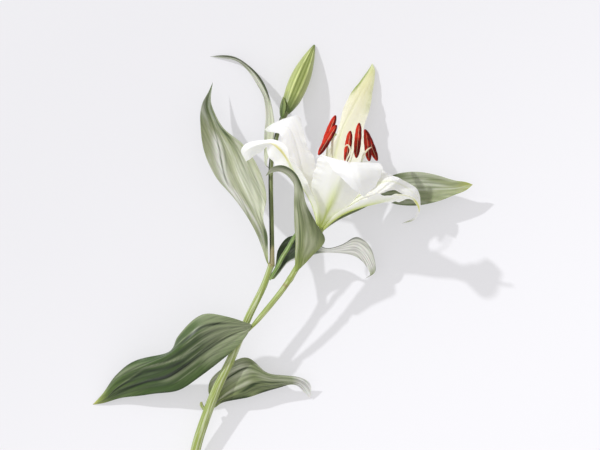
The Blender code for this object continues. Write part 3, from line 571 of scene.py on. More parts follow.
class LilyPetalSettings(bpy.types.PropertyGroup):
    """Petals of the open flower"""
    thickness: FloatProperty(name="Thickness", description="Of a petal at its midrib",
                             default=0.9 * MM, min=0.3 * MM, max=1.2 * MM, unit="LENGTH")
    edge: FloatProperty(name="Edge", description="Thickness of a petal near its edge",
                        default=0.3 * MM, min=0.1 * MM, max=0.5 * MM, unit="LENGTH")
    rib: FloatProperty(name="Midrib", description="How far the midrib stands out at the back",
                       default=0.5 * MM, min=0.0, max=1.0 * MM, unit="LENGTH")
    ruffle: FloatProperty(name="Ruffle", description="Height of the waves along the margins",
                          default=0.9 * MM, min=0.0, max=2.0 * MM, unit="LENGTH")
    ruffle_length: FloatProperty(name="Ruffle length",
                                 description="From one wave of the margin to the next",
                                 default=15 * MM, unit="LENGTH")
    vein_spacing: FloatProperty(name="Vein spacing", description="Between the fine veins",
                                default=1.5 * MM, unit="LENGTH")
    # glow is the strength of a painted glow: the petal's colour emitted as light, for light through the
    # flesh.
    glow: FloatProperty(name="Light through", default=0.15, min=0.0, max=1.0,
                        description="Light that comes through the thin flesh from behind")
    rib_colour: FloatVectorProperty(name="Midrib", description="Green of the midrib", size=3,
                                    default=linear("b1bf58"), min=0.0, max=1.0, subtype="COLOR")


class LilyStalkSettings(bpy.types.PropertyGroup):
    """Stem, stalks and bud"""
    rib: FloatProperty(name="Ribs", description="Height of the fine ribs along a stalk",
                       default=0.06 * MM, min=0.0, max=0.3 * MM, unit="LENGTH")
    stem_colour: FloatVectorProperty(name="Stem", description="Green of the stem", size=3,
                                     default=linear("97a556"), min=0.0, max=1.0, subtype="COLOR")
    stalk_colour: FloatVectorProperty(name="Bud stalk", description="Olive of the bud's stalk",
                                      size=3,
                                      default=linear("667040"), min=0.0, max=1.0, subtype="COLOR")
    side_colour: FloatVectorProperty(name="Side stalk", description="Green of the side stalk",
                                     size=3,
                                     default=linear("7f9d54"), min=0.0, max=1.0, subtype="COLOR")
    # bud_colour is also the painted highlight along the bud's rims, and seam_colour also takes the painted
    # shade beside them.
    bud_colour: FloatVectorProperty(name="Bud", description="Green of the bud's ridges", size=3,
                                    default=linear("d3dc98"), min=0.0, max=1.0, subtype="COLOR")
    seam_colour: FloatVectorProperty(name="Bud seams",
                                     description="Green between the bud's segments", size=3,
                                     default=linear("74823a"), min=0.0, max=1.0, subtype="COLOR")


class LilyStamenSettings(bpy.types.PropertyGroup):
    """Stamens and pistil"""
    width: FloatProperty(name="Anther width", description="Across an anther", default=5.0 * MM,
                         unit="LENGTH")
    depth: FloatProperty(name="Anther depth", description="Through an anther", default=3.8 * MM,
                         unit="LENGTH")
    filament: FloatProperty(name="Filament", description="Thickness of a filament",
                            default=1.1 * MM, unit="LENGTH")
    grain: FloatProperty(name="Pollen", description="Size of a clump of pollen", default=0.45 * MM,
                         unit="LENGTH")
    colour: FloatVectorProperty(name="Pollen", description="Red of the pollen", size=3,
                                default=linear("c4301f"), min=0.0, max=1.0, subtype="COLOR")


class LilyStageSettings(bpy.types.PropertyGroup):
    """Camera, floor and light"""
    height: FloatProperty(name="Camera height", description="Above the floor", default=1.257,
                          unit="LENGTH")
    lens: FloatProperty(name="Lens", description="Focal length", default=100.0, unit="CAMERA")
    key: FloatProperty(name="Key light", description="Strength of the sun-like light",
                       default=2.0, min=0.0)
    fill: FloatProperty(name="Fill light", description="Strength of the soft light all round",
                        default=0.58, min=0.0)
    overhead: FloatProperty(name="Overhead light", description="Power of the softbox above",
                            default=4.0, min=0.0, unit="POWER")
    overhead_size: FloatProperty(name="Overhead size", description="Side of the softbox",
                                 default=1.3, unit="LENGTH")
    key_height: FloatProperty(name="Key height", description="Of the key light above the floor",
                              default=math.radians(39.5), subtype="ANGLE")
    key_size: FloatProperty(name="Key size", default=math.radians(1.6), subtype="ANGLE",
                            description="Angle that the key light fills, which softens shadows")
    floor: FloatVectorProperty(name="Floor", description="Colour of the floor", size=3,
                               default=linear("b7b7bb"), min=0.0, max=1.0, subtype="COLOR")
    glow: FloatProperty(name="Floor glow", default=0.43, min=0.0,
                        description="Light that the floor gives of its own, which keeps shadows pale")


class LilySettings(bpy.types.PropertyGroup):
    """All the lily's settings"""
    leaf: PointerProperty(type=LilyLeafSettings)
    petal: PointerProperty(type=LilyPetalSettings)
    stalk: PointerProperty(type=LilyStalkSettings)
    stamen: PointerProperty(type=LilyStamenSettings)
    stage: PointerProperty(type=LilyStageSettings)


# ---------------------------------------------------------------- curves and skins, in mm
def curve(points, places, at):
    """Points at the places `at` on the smooth curve through the points, which sit at `places`."""
    points = np.asarray(points, float)
    places = np.asarray(places, float)
    slopes = np.empty_like(points)
    slopes[1:-1] = (points[2:] - points[:-2]) / (places[2:] - places[:-2])[:, None]
    slopes[0] = (points[1] - points[0]) / (places[1] - places[0])
    slopes[-1] = (points[-1] - points[-2]) / (places[-1] - places[-2])
    i = np.clip(np.searchsorted(places, at, side="right") - 1, 0, len(places) - 2)
    span = (places[i + 1] - places[i])[:, None]
    t = (at - places[i])[:, None] / span
    start = points[i] * (2 * t**3 - 3 * t**2 + 1) + slopes[i] * span * (t**3 - 2 * t**2 + t)
    end = points[i + 1] * (3 * t**2 - 2 * t**3) + slopes[i + 1] * span * (t**3 - t**2)
    return start + end


def lengths(points):
    """Distance along a line of points, from the first to each."""
    steps = np.linalg.norm(np.diff(points, axis=0), axis=1)
    return np.concatenate(([0.0], np.cumsum(steps)))


def eased(values, passes):
    """Values with their kinks along the first axis rounded off, both ends kept."""
    for _ in range(passes):
        inner = (values[:-2] + 2 * values[1:-1] + values[2:]) / 4
        values = np.concatenate((values[:1], inner, values[-1:]))
    return values


def unit(vectors):
    """The vectors at length one."""
    return vectors / np.maximum(np.linalg.norm(vectors, axis=-1, keepdims=True), 1e-9)


def bell(x, width):
    """A smooth bump, 1 in the middle."""
    return np.exp(-(x / width) ** 2)


def ramp(x, low, high):
    """0 below low, 1 above high, smooth between them."""
    t = np.clip((x - low) / (high - low), 0.0, 1.0)
    return t * t * (3 - 2 * t)


def strokes(lines, u, v):
    """How strongly soft strokes cover each place of a blade."""
    cover = 0.0 * u * v
    for across, along, across_end, along_end, width, strength in lines:
        middle = across + (across_end - across) * np.clip((v - along) / (along_end - along), 0, 1)
        ends = ramp(v, along - 0.05, along + 0.05) * (1 - ramp(v, along_end - 0.05, along_end + 0.05))
        cover = np.maximum(cover, strength * bell(u - middle, width) * ends)
    return cover


def frames_along(centres):
    """Two directions across each point of a route, which turn as little as they can along it."""
    ahead = unit(np.gradient(centres, axis=0))
    side = np.array((0.0, 0.0, 1.0))
    sides = []
    for way in ahead:
        side = unit(side - way * side.dot(way))
        sides.append(side)
    sides = np.array(sides)
    return sides, np.cross(ahead, sides)


def rings_along(centres, radii, sides, outline=None, flat=1.0):
    """Rings across a route, and each point's angle; outline(angle, share) is a factor on the radius."""
    side, up = frames_along(centres)
    angle = 2 * math.pi * np.arange(sides) / sides
    share = np.linspace(0, 1, len(centres))[:, None]
    size = np.broadcast_to(np.asarray(radii)[:, None], (len(centres), sides))
    if outline:
        size = size * outline(angle[None, :], share)
    across = side[:, None] * (size * flat * np.cos(angle))[..., None]
    return centres[:, None] + across + up[:, None] * (size * np.sin(angle))[..., None], angle


def skin(name, rings, marks, surface):
    """A closed piece whose skin joins the rings; it stands for the frame's node of that name."""
    count, sides = rings.shape[:2]
    ends = np.array((rings[0].mean(axis=0), rings[-1].mean(axis=0)))
    points = (np.vstack((rings.reshape(-1, 3), ends)) + PLACE) * MM
    near = (np.arange(count - 1)[:, None] * sides + np.arange(sides)).ravel()
    turned = (np.arange(count - 1)[:, None] * sides + (np.arange(sides) + 1) % sides).ravel()
    faces = np.stack((near, turned, turned + sides, near + sides), axis=1).tolist()
    first = count * sides
    last = (count - 1) * sides
    for j in range(sides):
        k = (j + 1) % sides
        faces.append((first, k, j))
        faces.append((first + 1, last + j, last + k))
    mesh = bpy.data.meshes.new(name)
    mesh.from_pydata(points.tolist(), [], faces)
    for key, values in marks.items():
        values = np.asarray(values, float).reshape(count, sides, -1)
        caps = np.stack((values[0].mean(axis=0), values[-1].mean(axis=0)))
        flat = np.vstack((values.reshape(count * sides, -1), caps)).astype(np.float32)
        kind, field = ("FLOAT_VECTOR", "vector") if flat.shape[1] == 3 else ("FLOAT", "value")
        layer = mesh.attributes.new(key, kind, "POINT")
        layer.data.foreach_set(field, flat.ravel())
    mesh.materials.append(surface)
    mesh.shade_smooth()
    piece = bpy.data.objects.new(name + "_skin", mesh)
    bpy.context.scene.collection.objects.link(piece)
    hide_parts(name)
    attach(piece, BODY)
    return piece


def blade(name, rows, steps, columns, thickness, edge, relief, surface, inner_above=True):
    """A thin blade with rounded edges through the rows; relief(across, along, mm) lifts its sheet."""
    rows = np.array(rows, float)
    count, width = rows.shape[:2]
    places = lengths(rows[:, width // 2])
    along = np.linspace(0, 0.998, steps + 1)
    rails = curve(rows.reshape(count, -1), places, along * places[-1])
    rails = eased(rails, 5).reshape(steps + 1, width, 3)
    inside = np.linspace(-EDGE_START, EDGE_START, columns)
    across = np.concatenate(((-1, -0.994, -0.975), inside, (0.975, 0.994, 1)))
    shares = curve(np.eye(width), np.linspace(-1, 1, width), across)
    sheet = np.einsum("ck,skd->scd", shares, rails)
    normal = unit(np.cross(np.gradient(sheet, axis=1), np.gradient(sheet, axis=0)))
    half = np.linalg.norm(sheet[:, 0] - sheet[:, -1], axis=1)[:, None] / 2

    u = across[None, :]
    v = along[:, None]
    lift, mark, lit = relief(u, v, places[-1], half)
    past = np.clip(abs(u) - EDGE_START, 0, 1) / (1 - EDGE_START)
    rim = np.sqrt(np.clip(1 - past ** 2, 0, 1))
    body = (edge + (thickness - edge) * (1 - u**2)) * rim * (1 - v**6)
    body = np.minimum(body, half * 0.9)
    upper = sheet + normal * (lift + body / 2)[..., None]
    lower = sheet + normal * (lift - body / 2)[..., None]

    def around(top, bottom):
        return np.concatenate((top, bottom[:, -2:0:-1]), axis=1)

    flat = np.zeros_like(v * u)
    above = flat + (1.0 if inner_above else 0.0)
    part = np.stack((flat + u, flat + v), axis=-1)
    part = around(part, part)
    face = around(above, 1 - above)
    face[:, 0] = face[:, len(across) - 1] = 0.5
    top, bottom = (np.stack((u * half, flat + v * places[-1], flat + shift), axis=-1)
                   for shift in (0, UNDERSIDE_SHIFT))
    marks = {
        "part": np.concatenate((part, face[..., None]), axis=-1),
        "mm": around(top, bottom),
        "mark": around(mark + flat, mark + flat),
        "lit": around(lit + flat, lit + flat),
    }
    return skin(name, around(upper, lower), marks, surface)


def unmarked(angle, share):
    """The mark of a stalk that has the same skin all over."""
    return 0.0


def stalk(name, table, steps, sides, outline, surface, slot, mark=unmarked, cut=0.0):
    """A tapering stalk along a table's route, its first end cut on a slant."""
    table = np.array(table, float)
    places = lengths(table[:, :3])
    route = eased(curve(table, places, np.linspace(0, places[-1], steps + 1)), 2)
    rings, angle = rings_along(route[:, :3], route[:, 3], sides, outline)
    if cut:
        ahead = unit(route[1, :3] - route[0, :3])
        side, _ = frames_along(route[:, :3])
        for i in range(CUT_RINGS):
            drop = cut * ((rings[i] - route[i, :3]).dot(side[i]) + route[i, 3]) * (1 - i / CUT_RINGS)
            rings[i] += ahead * drop[:, None]
    share = np.linspace(0, 1, steps + 1)
    marks = stalk_marks(rings, route, angle, share, places[-1], mark)
    return skin(name, rings, marks, surface)


def rooted(table, first, last=None):
    """A stalk's table with its ends moved into the pieces that it joins."""
    table = list(table)
    table[0] = (*first, table[0][3])
    if last:
        table[-1] = (*last, table[-1][3])
    return table


def stalk_marks(rings, route, angle, share, length, mark):
    """What a round piece's material reads: direction round it, millimetres and a mark."""
    count, sides = rings.shape[:2]
    turn = np.broadcast_to(np.stack((np.cos(angle), np.sin(angle)), axis=-1), (count, sides, 2))
    along = np.broadcast_to(share[:, None, None], (count, sides, 1))
    return {
        "part": np.concatenate((turn, along), axis=-1),
        "mm": np.concatenate((turn * route[:, None, 3:4], along * length), axis=-1),
        "mark": mark(angle[None, :], share[:, None]) + np.zeros((count, sides)),
    }


# ---------------------------------------------------------------- materials
SMOOTH = {"interpolation_type": "SMOOTHSTEP"}     # settings that many nodes share
COLOUR = {"data_type": "RGBA"}


def add(tree, kind, settings=None, inputs=None, stops=None):
    """Add a node with its settings, its inputs as values or links, and a ramp's colour stops."""
    made = tree.nodes.new(kind)
    for key, value in (settings or {}).items():
        setattr(made, key, value)
    for key, value in (inputs or {}).items():
        if isinstance(value, bpy.types.NodeSocket):
            tree.links.new(value, made.inputs[key])
        else:
            made.inputs[key].default_value = value
    if stops:
        elements = made.color_ramp.elements
        while len(elements) < len(stops):
            elements.new(1.0)
        for element, (place, code) in zip(elements, stops):
            element.position = place
            element.color = (*linear(code), 1.0)
    return made


def start_material(name, shader_values):
    """A new material with the given values on its main shader."""
    made = bpy.data.materials.new(name)
    made.use_nodes = True
    tree = made.node_tree
    shader = tree.nodes["Principled BSDF"]
    for key, value in shader_values.items():
        shader.inputs[key].default_value = value
    part = add(tree, "ShaderNodeAttribute", {"attribute_name": "part"})
    split = add(tree, "ShaderNodeSeparateXYZ", inputs={0: part.outputs["Vector"]})
    mm = add(tree, "ShaderNodeAttribute", {"attribute_name": "mm"})
    mark = add(tree, "ShaderNodeAttribute", {"attribute_name": "mark"})
    return made, tree, shader, split.outputs, mm.outputs["Vector"], mark.outputs["Fac"]


def four(colour):
    """A colour with its alpha."""
    return (*colour, 1.0)


def leaf_material(look, settings, seed):
    """Lily leaf under its waxy cuticle: satin, with fine veins, painted shade in its grooves and folds,
    painted highlights and a painted glow.
    """
    made, tree, shader, part, mm, mark = start_material("waxy leaf blade, " + look["node"], {
        "Roughness": 0.45, "IOR": 1.45, "Coat Weight": settings.wax, "Coat Roughness": 0.35,
        "Subsurface Weight": 0.12, "Subsurface Radius": (0.5, 1.0, 0.3), "Subsurface Scale": 0.5 * MM})
    spacing = settings.vein_spacing / MM
    veins = add(tree, "ShaderNodeVectorMath", {"operation": "MULTIPLY_ADD"},
                {0: mm, 1: (1 / spacing, 0.045 / spacing, 1.0), 2: (seed, seed * 0.3, 0.0)})
    fine = add(tree, "ShaderNodeTexNoise",
               inputs={"Vector": veins.outputs[0], "Scale": 1.0, "Detail": 3.0,
                                                  "Roughness": 0.55})
    blotch = add(tree, "ShaderNodeVectorMath", {"operation": "MULTIPLY_ADD"},
                 {0: mm, 1: (1 / 5, 1 / 32, 1.0), 2: (seed * 2.0, seed, 0.0)})
    cloudy = add(tree, "ShaderNodeTexNoise",
                 inputs={"Vector": blotch.outputs[0], "Scale": 1.0, "Detail": 4.0,
                                                    "Roughness": 0.5})
    upper = add(tree, "ShaderNodeValToRGB", inputs={0: part[1]}, stops=look["upper"])
    under = add(tree, "ShaderNodeValToRGB", inputs={0: part[1]}, stops=look["under"])
    sides = add(tree, "ShaderNodeMix", COLOUR,
                {0: part[2], 6: under.outputs[0], 7: upper.outputs[0]})
    # Painted highlight: clouds of noise and the painted strokes (lit) lighten the blade towards the colour
    # light, as a waxy sheen would.
    lights = add(tree, "ShaderNodeMapRange", SMOOTH,
                 {"Value": cloudy.outputs[0], "From Min": 0.46, "From Max": 0.68,
                  "To Max": look["glare"]})
    painted = add(tree, "ShaderNodeAttribute", {"attribute_name": "lit"})
    lighter = add(tree, "ShaderNodeMath", {"operation": "MAXIMUM"},
                  {0: lights.outputs[0], 1: painted.outputs["Fac"]})
    lit = add(tree, "ShaderNodeMix", COLOUR,
              {0: lighter.outputs[0], 6: sides.outputs[2], 7: four(linear(look["light"]))})
    streaks = add(tree, "ShaderNodeMapRange", SMOOTH,
                  {"Value": fine.outputs[0], "From Min": 0.6, "From Max": 0.3, "To Max": 0.35})
    # Painted shade: the mark, from the grooves and the dark strokes, darkens the blade towards the colour
    # groove, on top of the veins' streaks.
    dark = add(tree, "ShaderNodeMath", {"operation": "MULTIPLY_ADD", "use_clamp": True},
               {0: mark, 1: look["contrast"], 2: streaks.outputs[0]})
    final = add(tree, "ShaderNodeMix", COLOUR,
                {0: dark.outputs[0], 6: lit.outputs[2], 7: four(linear(look["groove"]))})
    tree.links.new(final.outputs[2], shader.inputs["Base Color"])
    # Painted glow: the blade's colour is also emitted, as strong as through, standing in for light coming
    # through the leaf.
    tree.links.new(final.outputs[2], shader.inputs["Emission Color"])
    shader.inputs["Emission Strength"].default_value = look["through"]
    rough = add(tree, "ShaderNodeMapRange", inputs={"Value": cloudy.outputs[0], "From Min": 0.3,
                                                    "From Max": 0.7, "To Min": 0.38, "To Max": 0.56})
    tree.links.new(rough.outputs[0], shader.inputs["Roughness"])
    bump = add(tree, "ShaderNodeBump", inputs={"Height": fine.outputs[0], "Strength": 0.55,
                                               "Distance": 0.35 * MM})
    tree.links.new(bump.outputs[0], shader.inputs["Normal"])
    return made


def petal_material(name, look, settings, seed):
    """White lily petal: soft matt flesh that lets light through, finely veined, green at its rib, with a
    painted glow.
    """
    made, tree, shader, part, mm, mark = start_material("white petal flesh, " + name, {
        "Roughness": 0.55, "IOR": 1.4, "Subsurface Weight": 0.7, "Subsurface Radius": (1.0, 0.98, 0.8),
        "Subsurface Scale": 2.5 * MM, "Sheen Weight": 0.08, "Sheen Roughness": 0.4})
    spacing = settings.vein_spacing / MM
    veins = add(tree, "ShaderNodeVectorMath", {"operation": "MULTIPLY_ADD"},
                {0: mm, 1: (1 / spacing, 0.04 / spacing, 1.0), 2: (seed, seed * 0.3, 0.0)})
    fine = add(tree, "ShaderNodeTexNoise",
               inputs={"Vector": veins.outputs[0], "Scale": 1.0, "Detail": 2.0,
                                                  "Roughness": 0.5})
    outside = add(tree, "ShaderNodeValToRGB", inputs={0: part[1]}, stops=look["outside"])
    inside = add(tree, "ShaderNodeValToRGB", inputs={0: part[1]}, stops=look["inside"])
    flesh = add(tree, "ShaderNodeMix", COLOUR,
                {0: part[2], 6: outside.outputs[0], 7: inside.outputs[0]})
    shade = add(tree, "ShaderNodeMapRange", SMOOTH,
                {"Value": fine.outputs[0], "From Min": 0.55, "From Max": 0.3, "To Max": 0.16})
    veined = add(tree, "ShaderNodeMix", COLOUR,
                 {0: shade.outputs[0], 6: flesh.outputs[2], 7: four(linear("dcddcf"))})
    rib = add(tree, "ShaderNodeMapRange", inputs={"Value": part[2], "To Min": look["outer_rib"],
                                                 "To Max": look["inner_rib"]})
    ribbed = add(tree, "ShaderNodeMath", {"operation": "MULTIPLY", "use_clamp": True},
                 {0: mark, 1: rib.outputs[0]})
    keel = add(tree, "ShaderNodeMix", COLOUR,
               {0: ribbed.outputs[0], 6: veined.outputs[2], 7: four(settings.rib_colour)})
    tip = add(tree, "ShaderNodeMapRange", SMOOTH,
              {"Value": part[1], "From Min": 0.93, "From Max": 0.995, "To Max": look["tip"]})
    tipped = add(tree, "ShaderNodeMix", COLOUR,
                 {0: tip.outputs[0], 6: keel.outputs[2], 7: four(linear("a9b55c"))})
    painted = add(tree, "ShaderNodeAttribute", {"attribute_name": "lit"})
    yellow = add(tree, "ShaderNodeMix", COLOUR,
                 {0: painted.outputs["Fac"], 6: tipped.outputs[2],
                  7: four(linear(look.get("tint", "c9bf5a")))})
    tree.links.new(yellow.outputs[2], shader.inputs["Base Color"])
    # Painted glow: the petal's colour is also emitted, standing in for light coming through the flesh and
    # lifting its shade.
    tree.links.new(yellow.outputs[2], shader.inputs["Emission Color"])
    shader.inputs["Emission Strength"].default_value = look.get("glow", settings.glow)
    bump = add(tree, "ShaderNodeBump", inputs={"Height": fine.outputs[0], "Strength": 0.3,
                                               "Distance": 0.25 * MM})
    tree.links.new(bump.outputs[0], shader.inputs["Normal"])
    return made


def stem_material(name, colour, light_colour, dark, shade_share, dry_colour, seed):
    """Green stem skin: smooth and a little waxy, with fine streaks, painted shade down one side, and dry
    and brown at its nodes.
    """
    made, tree, shader, part, mm, mark = start_material("green stem skin, " + name, {
        "Roughness": 0.42, "IOR": 1.45, "Coat Weight": 0.12, "Coat Roughness": 0.3,
        "Subsurface Weight": 0.1, "Subsurface Radius": (0.6, 1.0, 0.3), "Subsurface Scale": 1.0 * MM})
    stretched = add(tree, "ShaderNodeVectorMath", {"operation": "MULTIPLY_ADD"},
                    {0: mm, 1: (1.0, 1.0, 0.035), 2: (seed, 0.0, seed)})
    streaks = add(tree, "ShaderNodeTexNoise", inputs={"Vector": stretched.outputs[0], "Scale": 1.0,
                                                      "Detail": 4.0, "Roughness": 0.6})
    light = add(tree, "ShaderNodeMapRange", SMOOTH,
                {"Value": streaks.outputs[0], "From Min": 0.45, "From Max": 0.6, "To Max": 0.8})
    pale = add(tree, "ShaderNodeMix", COLOUR,
               {0: light.outputs[0], 6: four(colour), 7: four(linear(light_colour))})
    # Painted shade: one side of the stalk, where part[1] is negative, is darkened towards the colour dark.
    left = add(tree, "ShaderNodeMapRange", SMOOTH,
               {"Value": part[1], "From Min": 0.0, "From Max": -0.75, "To Max": shade_share})
    sided = add(tree, "ShaderNodeMix", COLOUR,
                {0: left.outputs[0], 6: pale.outputs[2], 7: four(linear(dark))})
    dry = add(tree, "ShaderNodeMix", COLOUR,
              {0: mark, 6: sided.outputs[2], 7: four(linear(dry_colour))})
    tree.links.new(dry.outputs[2], shader.inputs["Base Color"])
    bump = add(tree, "ShaderNodeBump", inputs={"Height": streaks.outputs[0], "Strength": 0.4,
                                               "Distance": 0.25 * MM})
    tree.links.new(bump.outputs[0], shader.inputs["Normal"])
    return made


def bud_material(settings):
    """Closed bud: waxy yellow-green ridges with a painted highlight along their rims and painted shade
    beside them, darker seams, a darker base and tip.
    """
    made, tree, shader, part, mm, mark = start_material("waxy green bud", {
        "Roughness": 0.42, "IOR": 1.45, "Coat Weight": 0.15, "Coat Roughness": 0.3,
        "Subsurface Weight": 0.15, "Subsurface Radius": (0.8, 1.0, 0.4), "Subsurface Scale": 1.5 * MM})
    stretched = add(tree, "ShaderNodeVectorMath", {"operation": "MULTIPLY"},
                    {0: mm, 1: (0.9, 0.9, 0.04)})
    streaks = add(tree, "ShaderNodeTexNoise", inputs={"Vector": stretched.outputs[0], "Scale": 1.0,
                                                      "Detail": 4.0, "Roughness": 0.55})
    between = add(tree, "ShaderNodeMix", COLOUR,
                  {0: mark, 6: four(settings.seam_colour), 7: four(settings.bud_colour)})
    shade = add(tree, "ShaderNodeMapRange", SMOOTH,
                {"Value": streaks.outputs[0], "From Min": 0.58, "From Max": 0.35, "To Max": 0.5})
    streaked = add(tree, "ShaderNodeMix", COLOUR,
                   {0: shade.outputs[0], 6: between.outputs[2], 7: four(linear("8d9a52"))})
    ends = add(tree, "ShaderNodeValToRGB", inputs={0: part[2]},
               stops=((0, "000000"), (0.1, "a0a0a0"), (0.25, "ffffff"), (0.88, "ffffff"), (1, "606060")))
    whole = add(tree, "ShaderNodeMix", COLOUR,
                {0: ends.outputs[0], 6: four(linear("55692f")), 7: streaked.outputs[2]})
    tree.links.new(whole.outputs[2], shader.inputs["Base Color"])
    bump = add(tree, "ShaderNodeBump", inputs={"Height": streaks.outputs[0], "Strength": 0.4,
                                               "Distance": 0.3 * MM})
    tree.links.new(bump.outputs[0], shader.inputs["Normal"])
    return made


def anther_material(settings):
    """Open anther: matt clumps of red pollen, darker in random patches and with painted shade down one
    flank, with a pale dry lip at each slit.
    """
    made, tree, shader, part, mm, mark = start_material("red lily pollen", {
        "Roughness": 0.75, "IOR": 1.35, "Specular IOR Level": 0.25})
    grain = add(tree, "ShaderNodeTexNoise",
                inputs={"Vector": mm, "Scale": MM / settings.grain, "Detail": 3.0,
                                                   "Roughness": 0.6})
    patches = add(tree, "ShaderNodeTexNoise", inputs={"Vector": mm, "Scale": 0.25, "Detail": 2.0})
    # Painted shade: the flank where part[1] is negative turns darker, towards 5e0a0f, on top of the random
    # patches.
    turned = add(tree, "ShaderNodeMath", {"operation": "MULTIPLY_ADD"},
                 {0: part[1], 1: 0.22, 2: patches.outputs[0]})
    dark = add(tree, "ShaderNodeMapRange", SMOOTH,
               {"Value": turned.outputs[0], "From Min": 0.6, "From Max": 0.38, "To Max": 0.95})
    body = add(tree, "ShaderNodeMix", COLOUR,
               {0: dark.outputs[0], 6: four(settings.colour), 7: four(linear("5e0a0f"))})
    light = add(tree, "ShaderNodeMapRange", SMOOTH,
                {"Value": grain.outputs[0], "From Min": 0.5, "From Max": 0.75, "To Max": 0.22})
    grained = add(tree, "ShaderNodeMix", COLOUR,
                  {0: light.outputs[0], 6: body.outputs[2], 7: four(linear("ee8068"))})
    lip = add(tree, "ShaderNodeMix", COLOUR,
              {0: mark, 6: grained.outputs[2], 7: four(linear("f0c8a4"))})
    tree.links.new(lip.outputs[2], shader.inputs["Base Color"])
    bump = add(tree, "ShaderNodeBump", inputs={"Height": grain.outputs[0], "Strength": 0.8,
                                               "Distance": 0.3 * MM})
    tree.links.new(bump.outputs[0], shader.inputs["Normal"])
    return made


def filament_material():
    """Filament and style: smooth, moist, pale green-white flesh, greener at the foot."""
    made, tree, shader, part, mm, mark = start_material("moist pale filament", {
        "Roughness": 0.35, "IOR": 1.4, "Subsurface Weight": 0.3, "Subsurface Radius": (1.0, 1.0, 0.6),
        "Subsurface Scale": 1.0 * MM})
    fade = add(tree, "ShaderNodeValToRGB", inputs={0: part[2]},
               stops=((0, "bcc87e"), (0.4, "dfe3b8"), (0.85, "f0efd8"), (1, "ecd9b8")))
    stretched = add(tree, "ShaderNodeVectorMath", {"operation": "MULTIPLY"},
                    {0: mm, 1: (2.0, 2.0, 0.2)})
    streaks = add(tree, "ShaderNodeTexNoise", inputs={"Vector": stretched.outputs[0], "Scale": 1.0,
                                                      "Detail": 2.0})
    tinted = add(tree, "ShaderNodeMix", {"data_type": "RGBA", "blend_type": "MULTIPLY"},
                 {0: 0.25, 6: fade.outputs[0], 7: streaks.outputs[0]})
    tacky = add(tree, "ShaderNodeMix", COLOUR,
                {0: mark, 6: tinted.outputs[2], 7: four(linear("cfd09a"))})
    tree.links.new(tacky.outputs[2], shader.inputs["Base Color"])
    bump = add(tree, "ShaderNodeBump", inputs={"Height": streaks.outputs[0], "Strength": 0.3,
                                               "Distance": 0.15 * MM})
    tree.links.new(bump.outputs[0], shader.inputs["Normal"])
    return made


def floor_material(settings):
    """Matt pale board; it glows a little, to keep shadows soft, and more to the lower right."""
    made = bpy.data.materials.new("matt pale board")
    made.use_nodes = True
    tree = made.node_tree
    shader = tree.nodes["Principled BSDF"]
    shader.inputs["Base Color"].default_value = four(settings.floor)
    shader.inputs["Roughness"].default_value = 0.9
    shader.inputs["Specular IOR Level"].default_value = 0.1
    shader.inputs["Emission Color"].default_value = four(linear("f8f7fc"))
    place = add(tree, "ShaderNodeTexCoord")
    across = add(tree, "ShaderNodeVectorMath", {"operation": "DOT_PRODUCT"},
                 {0: place.outputs["Object"], 1: GLOW_WAY})
    glow = add(tree, "ShaderNodeMapRange", SMOOTH,
               {"Value": across.outputs["Value"], "From Min": -GLOW_SPAN, "From Max": GLOW_SPAN,
                "To Min": settings.glow - 0.07, "To Max": settings.glow + 0.05})
    tree.links.new(glow.outputs[0], shader.inputs["Emission Strength"])
    return made


# ---------------------------------------------------------------- the flower's trumpet
def in_flower(reach, turn, side_radius, front_radius):
    """Point of the flower by its place along the axis and its angle round it."""
    angle = math.radians(turn)
    sideways = np.array(RIGHT) * side_radius * math.sin(angle)
    forwards = np.array(FRONT) * front_radius * math.cos(angle)
    return np.array(FLOWER_BASE) + np.array(AXIS) * reach + (sideways + forwards)


def tube_rows(turn, whorl):
    """Rows of a petal on the trumpet's wall, inside or outside it by its whorl, left edge first."""
    spans = INNER_SPANS if whorl == "inner" else OUTER_SPANS
    sign = -1 if whorl == "inner" else 1
    rows = []
    for i, reach in enumerate(TUBE_REACHES):
        layer = sign * (LAYER_START + LAYER_GROWTH * reach)
        row = []
        for t in (turn - spans[i], turn, turn + spans[i]):
            side = RIGHT_RADII[i] if t % 360 < 180 else LEFT_RADII[i]
            row.append(in_flower(reach, t, side + layer, FRONT_RADII[i] + layer))
        rows.append(row[::-1] if 90 < turn < 270 else row)
    return rows


# ---------------------------------------------------------------- operators
class LILY_OT_leaves(bpy.types.Operator):
    """Build the leaves and the small scale at the foot of the bud"""
    bl_idname = "lily.leaves"
    bl_label = "Leaves"

    def execute(self, context):
        settings = context.scene.lily.leaf
        for seed, look in enumerate(LEAVES):
            def relief(u, v, length, half, look=look, seed=seed):
                fade = ramp(v, 0.0, 0.08) * ramp(1 - v, 0.0, 0.2)
                dip = sum(much * bell(u - place, settings.groove_width) for place, much in look["grooves"])
                swell = sum(much * bell(u - place, 0.17) for place, much in look["grooves"])
                depth = look["depth"] * np.clip(half / 12, 0.1, 1.0)
                waves = 2 * math.pi * v * length / look["period"]
                margin = abs(u) ** 3 * np.sin(waves + seed * 1.7 + u)
                lift = fade * (margin * look["wave"] - depth * (0.4 * dip + 0.45 * swell))
                # The mark is painted shade in the grooves and under the dark strokes; the pale strokes are
                # painted highlights.
                dark = strokes(look["dark"], u, v) / look["contrast"]
                return lift, dip * fade + dark, strokes(look["pale"], u, v)
            rows = [[look["root"]] * len(look["rows"][0]), *look["rows"]]
            blade(look["node"], rows, 130, 55, settings.thickness / MM, settings.edge / MM, relief,
                  leaf_material(look, settings, seed * 3.1))
        return {"FINISHED"}


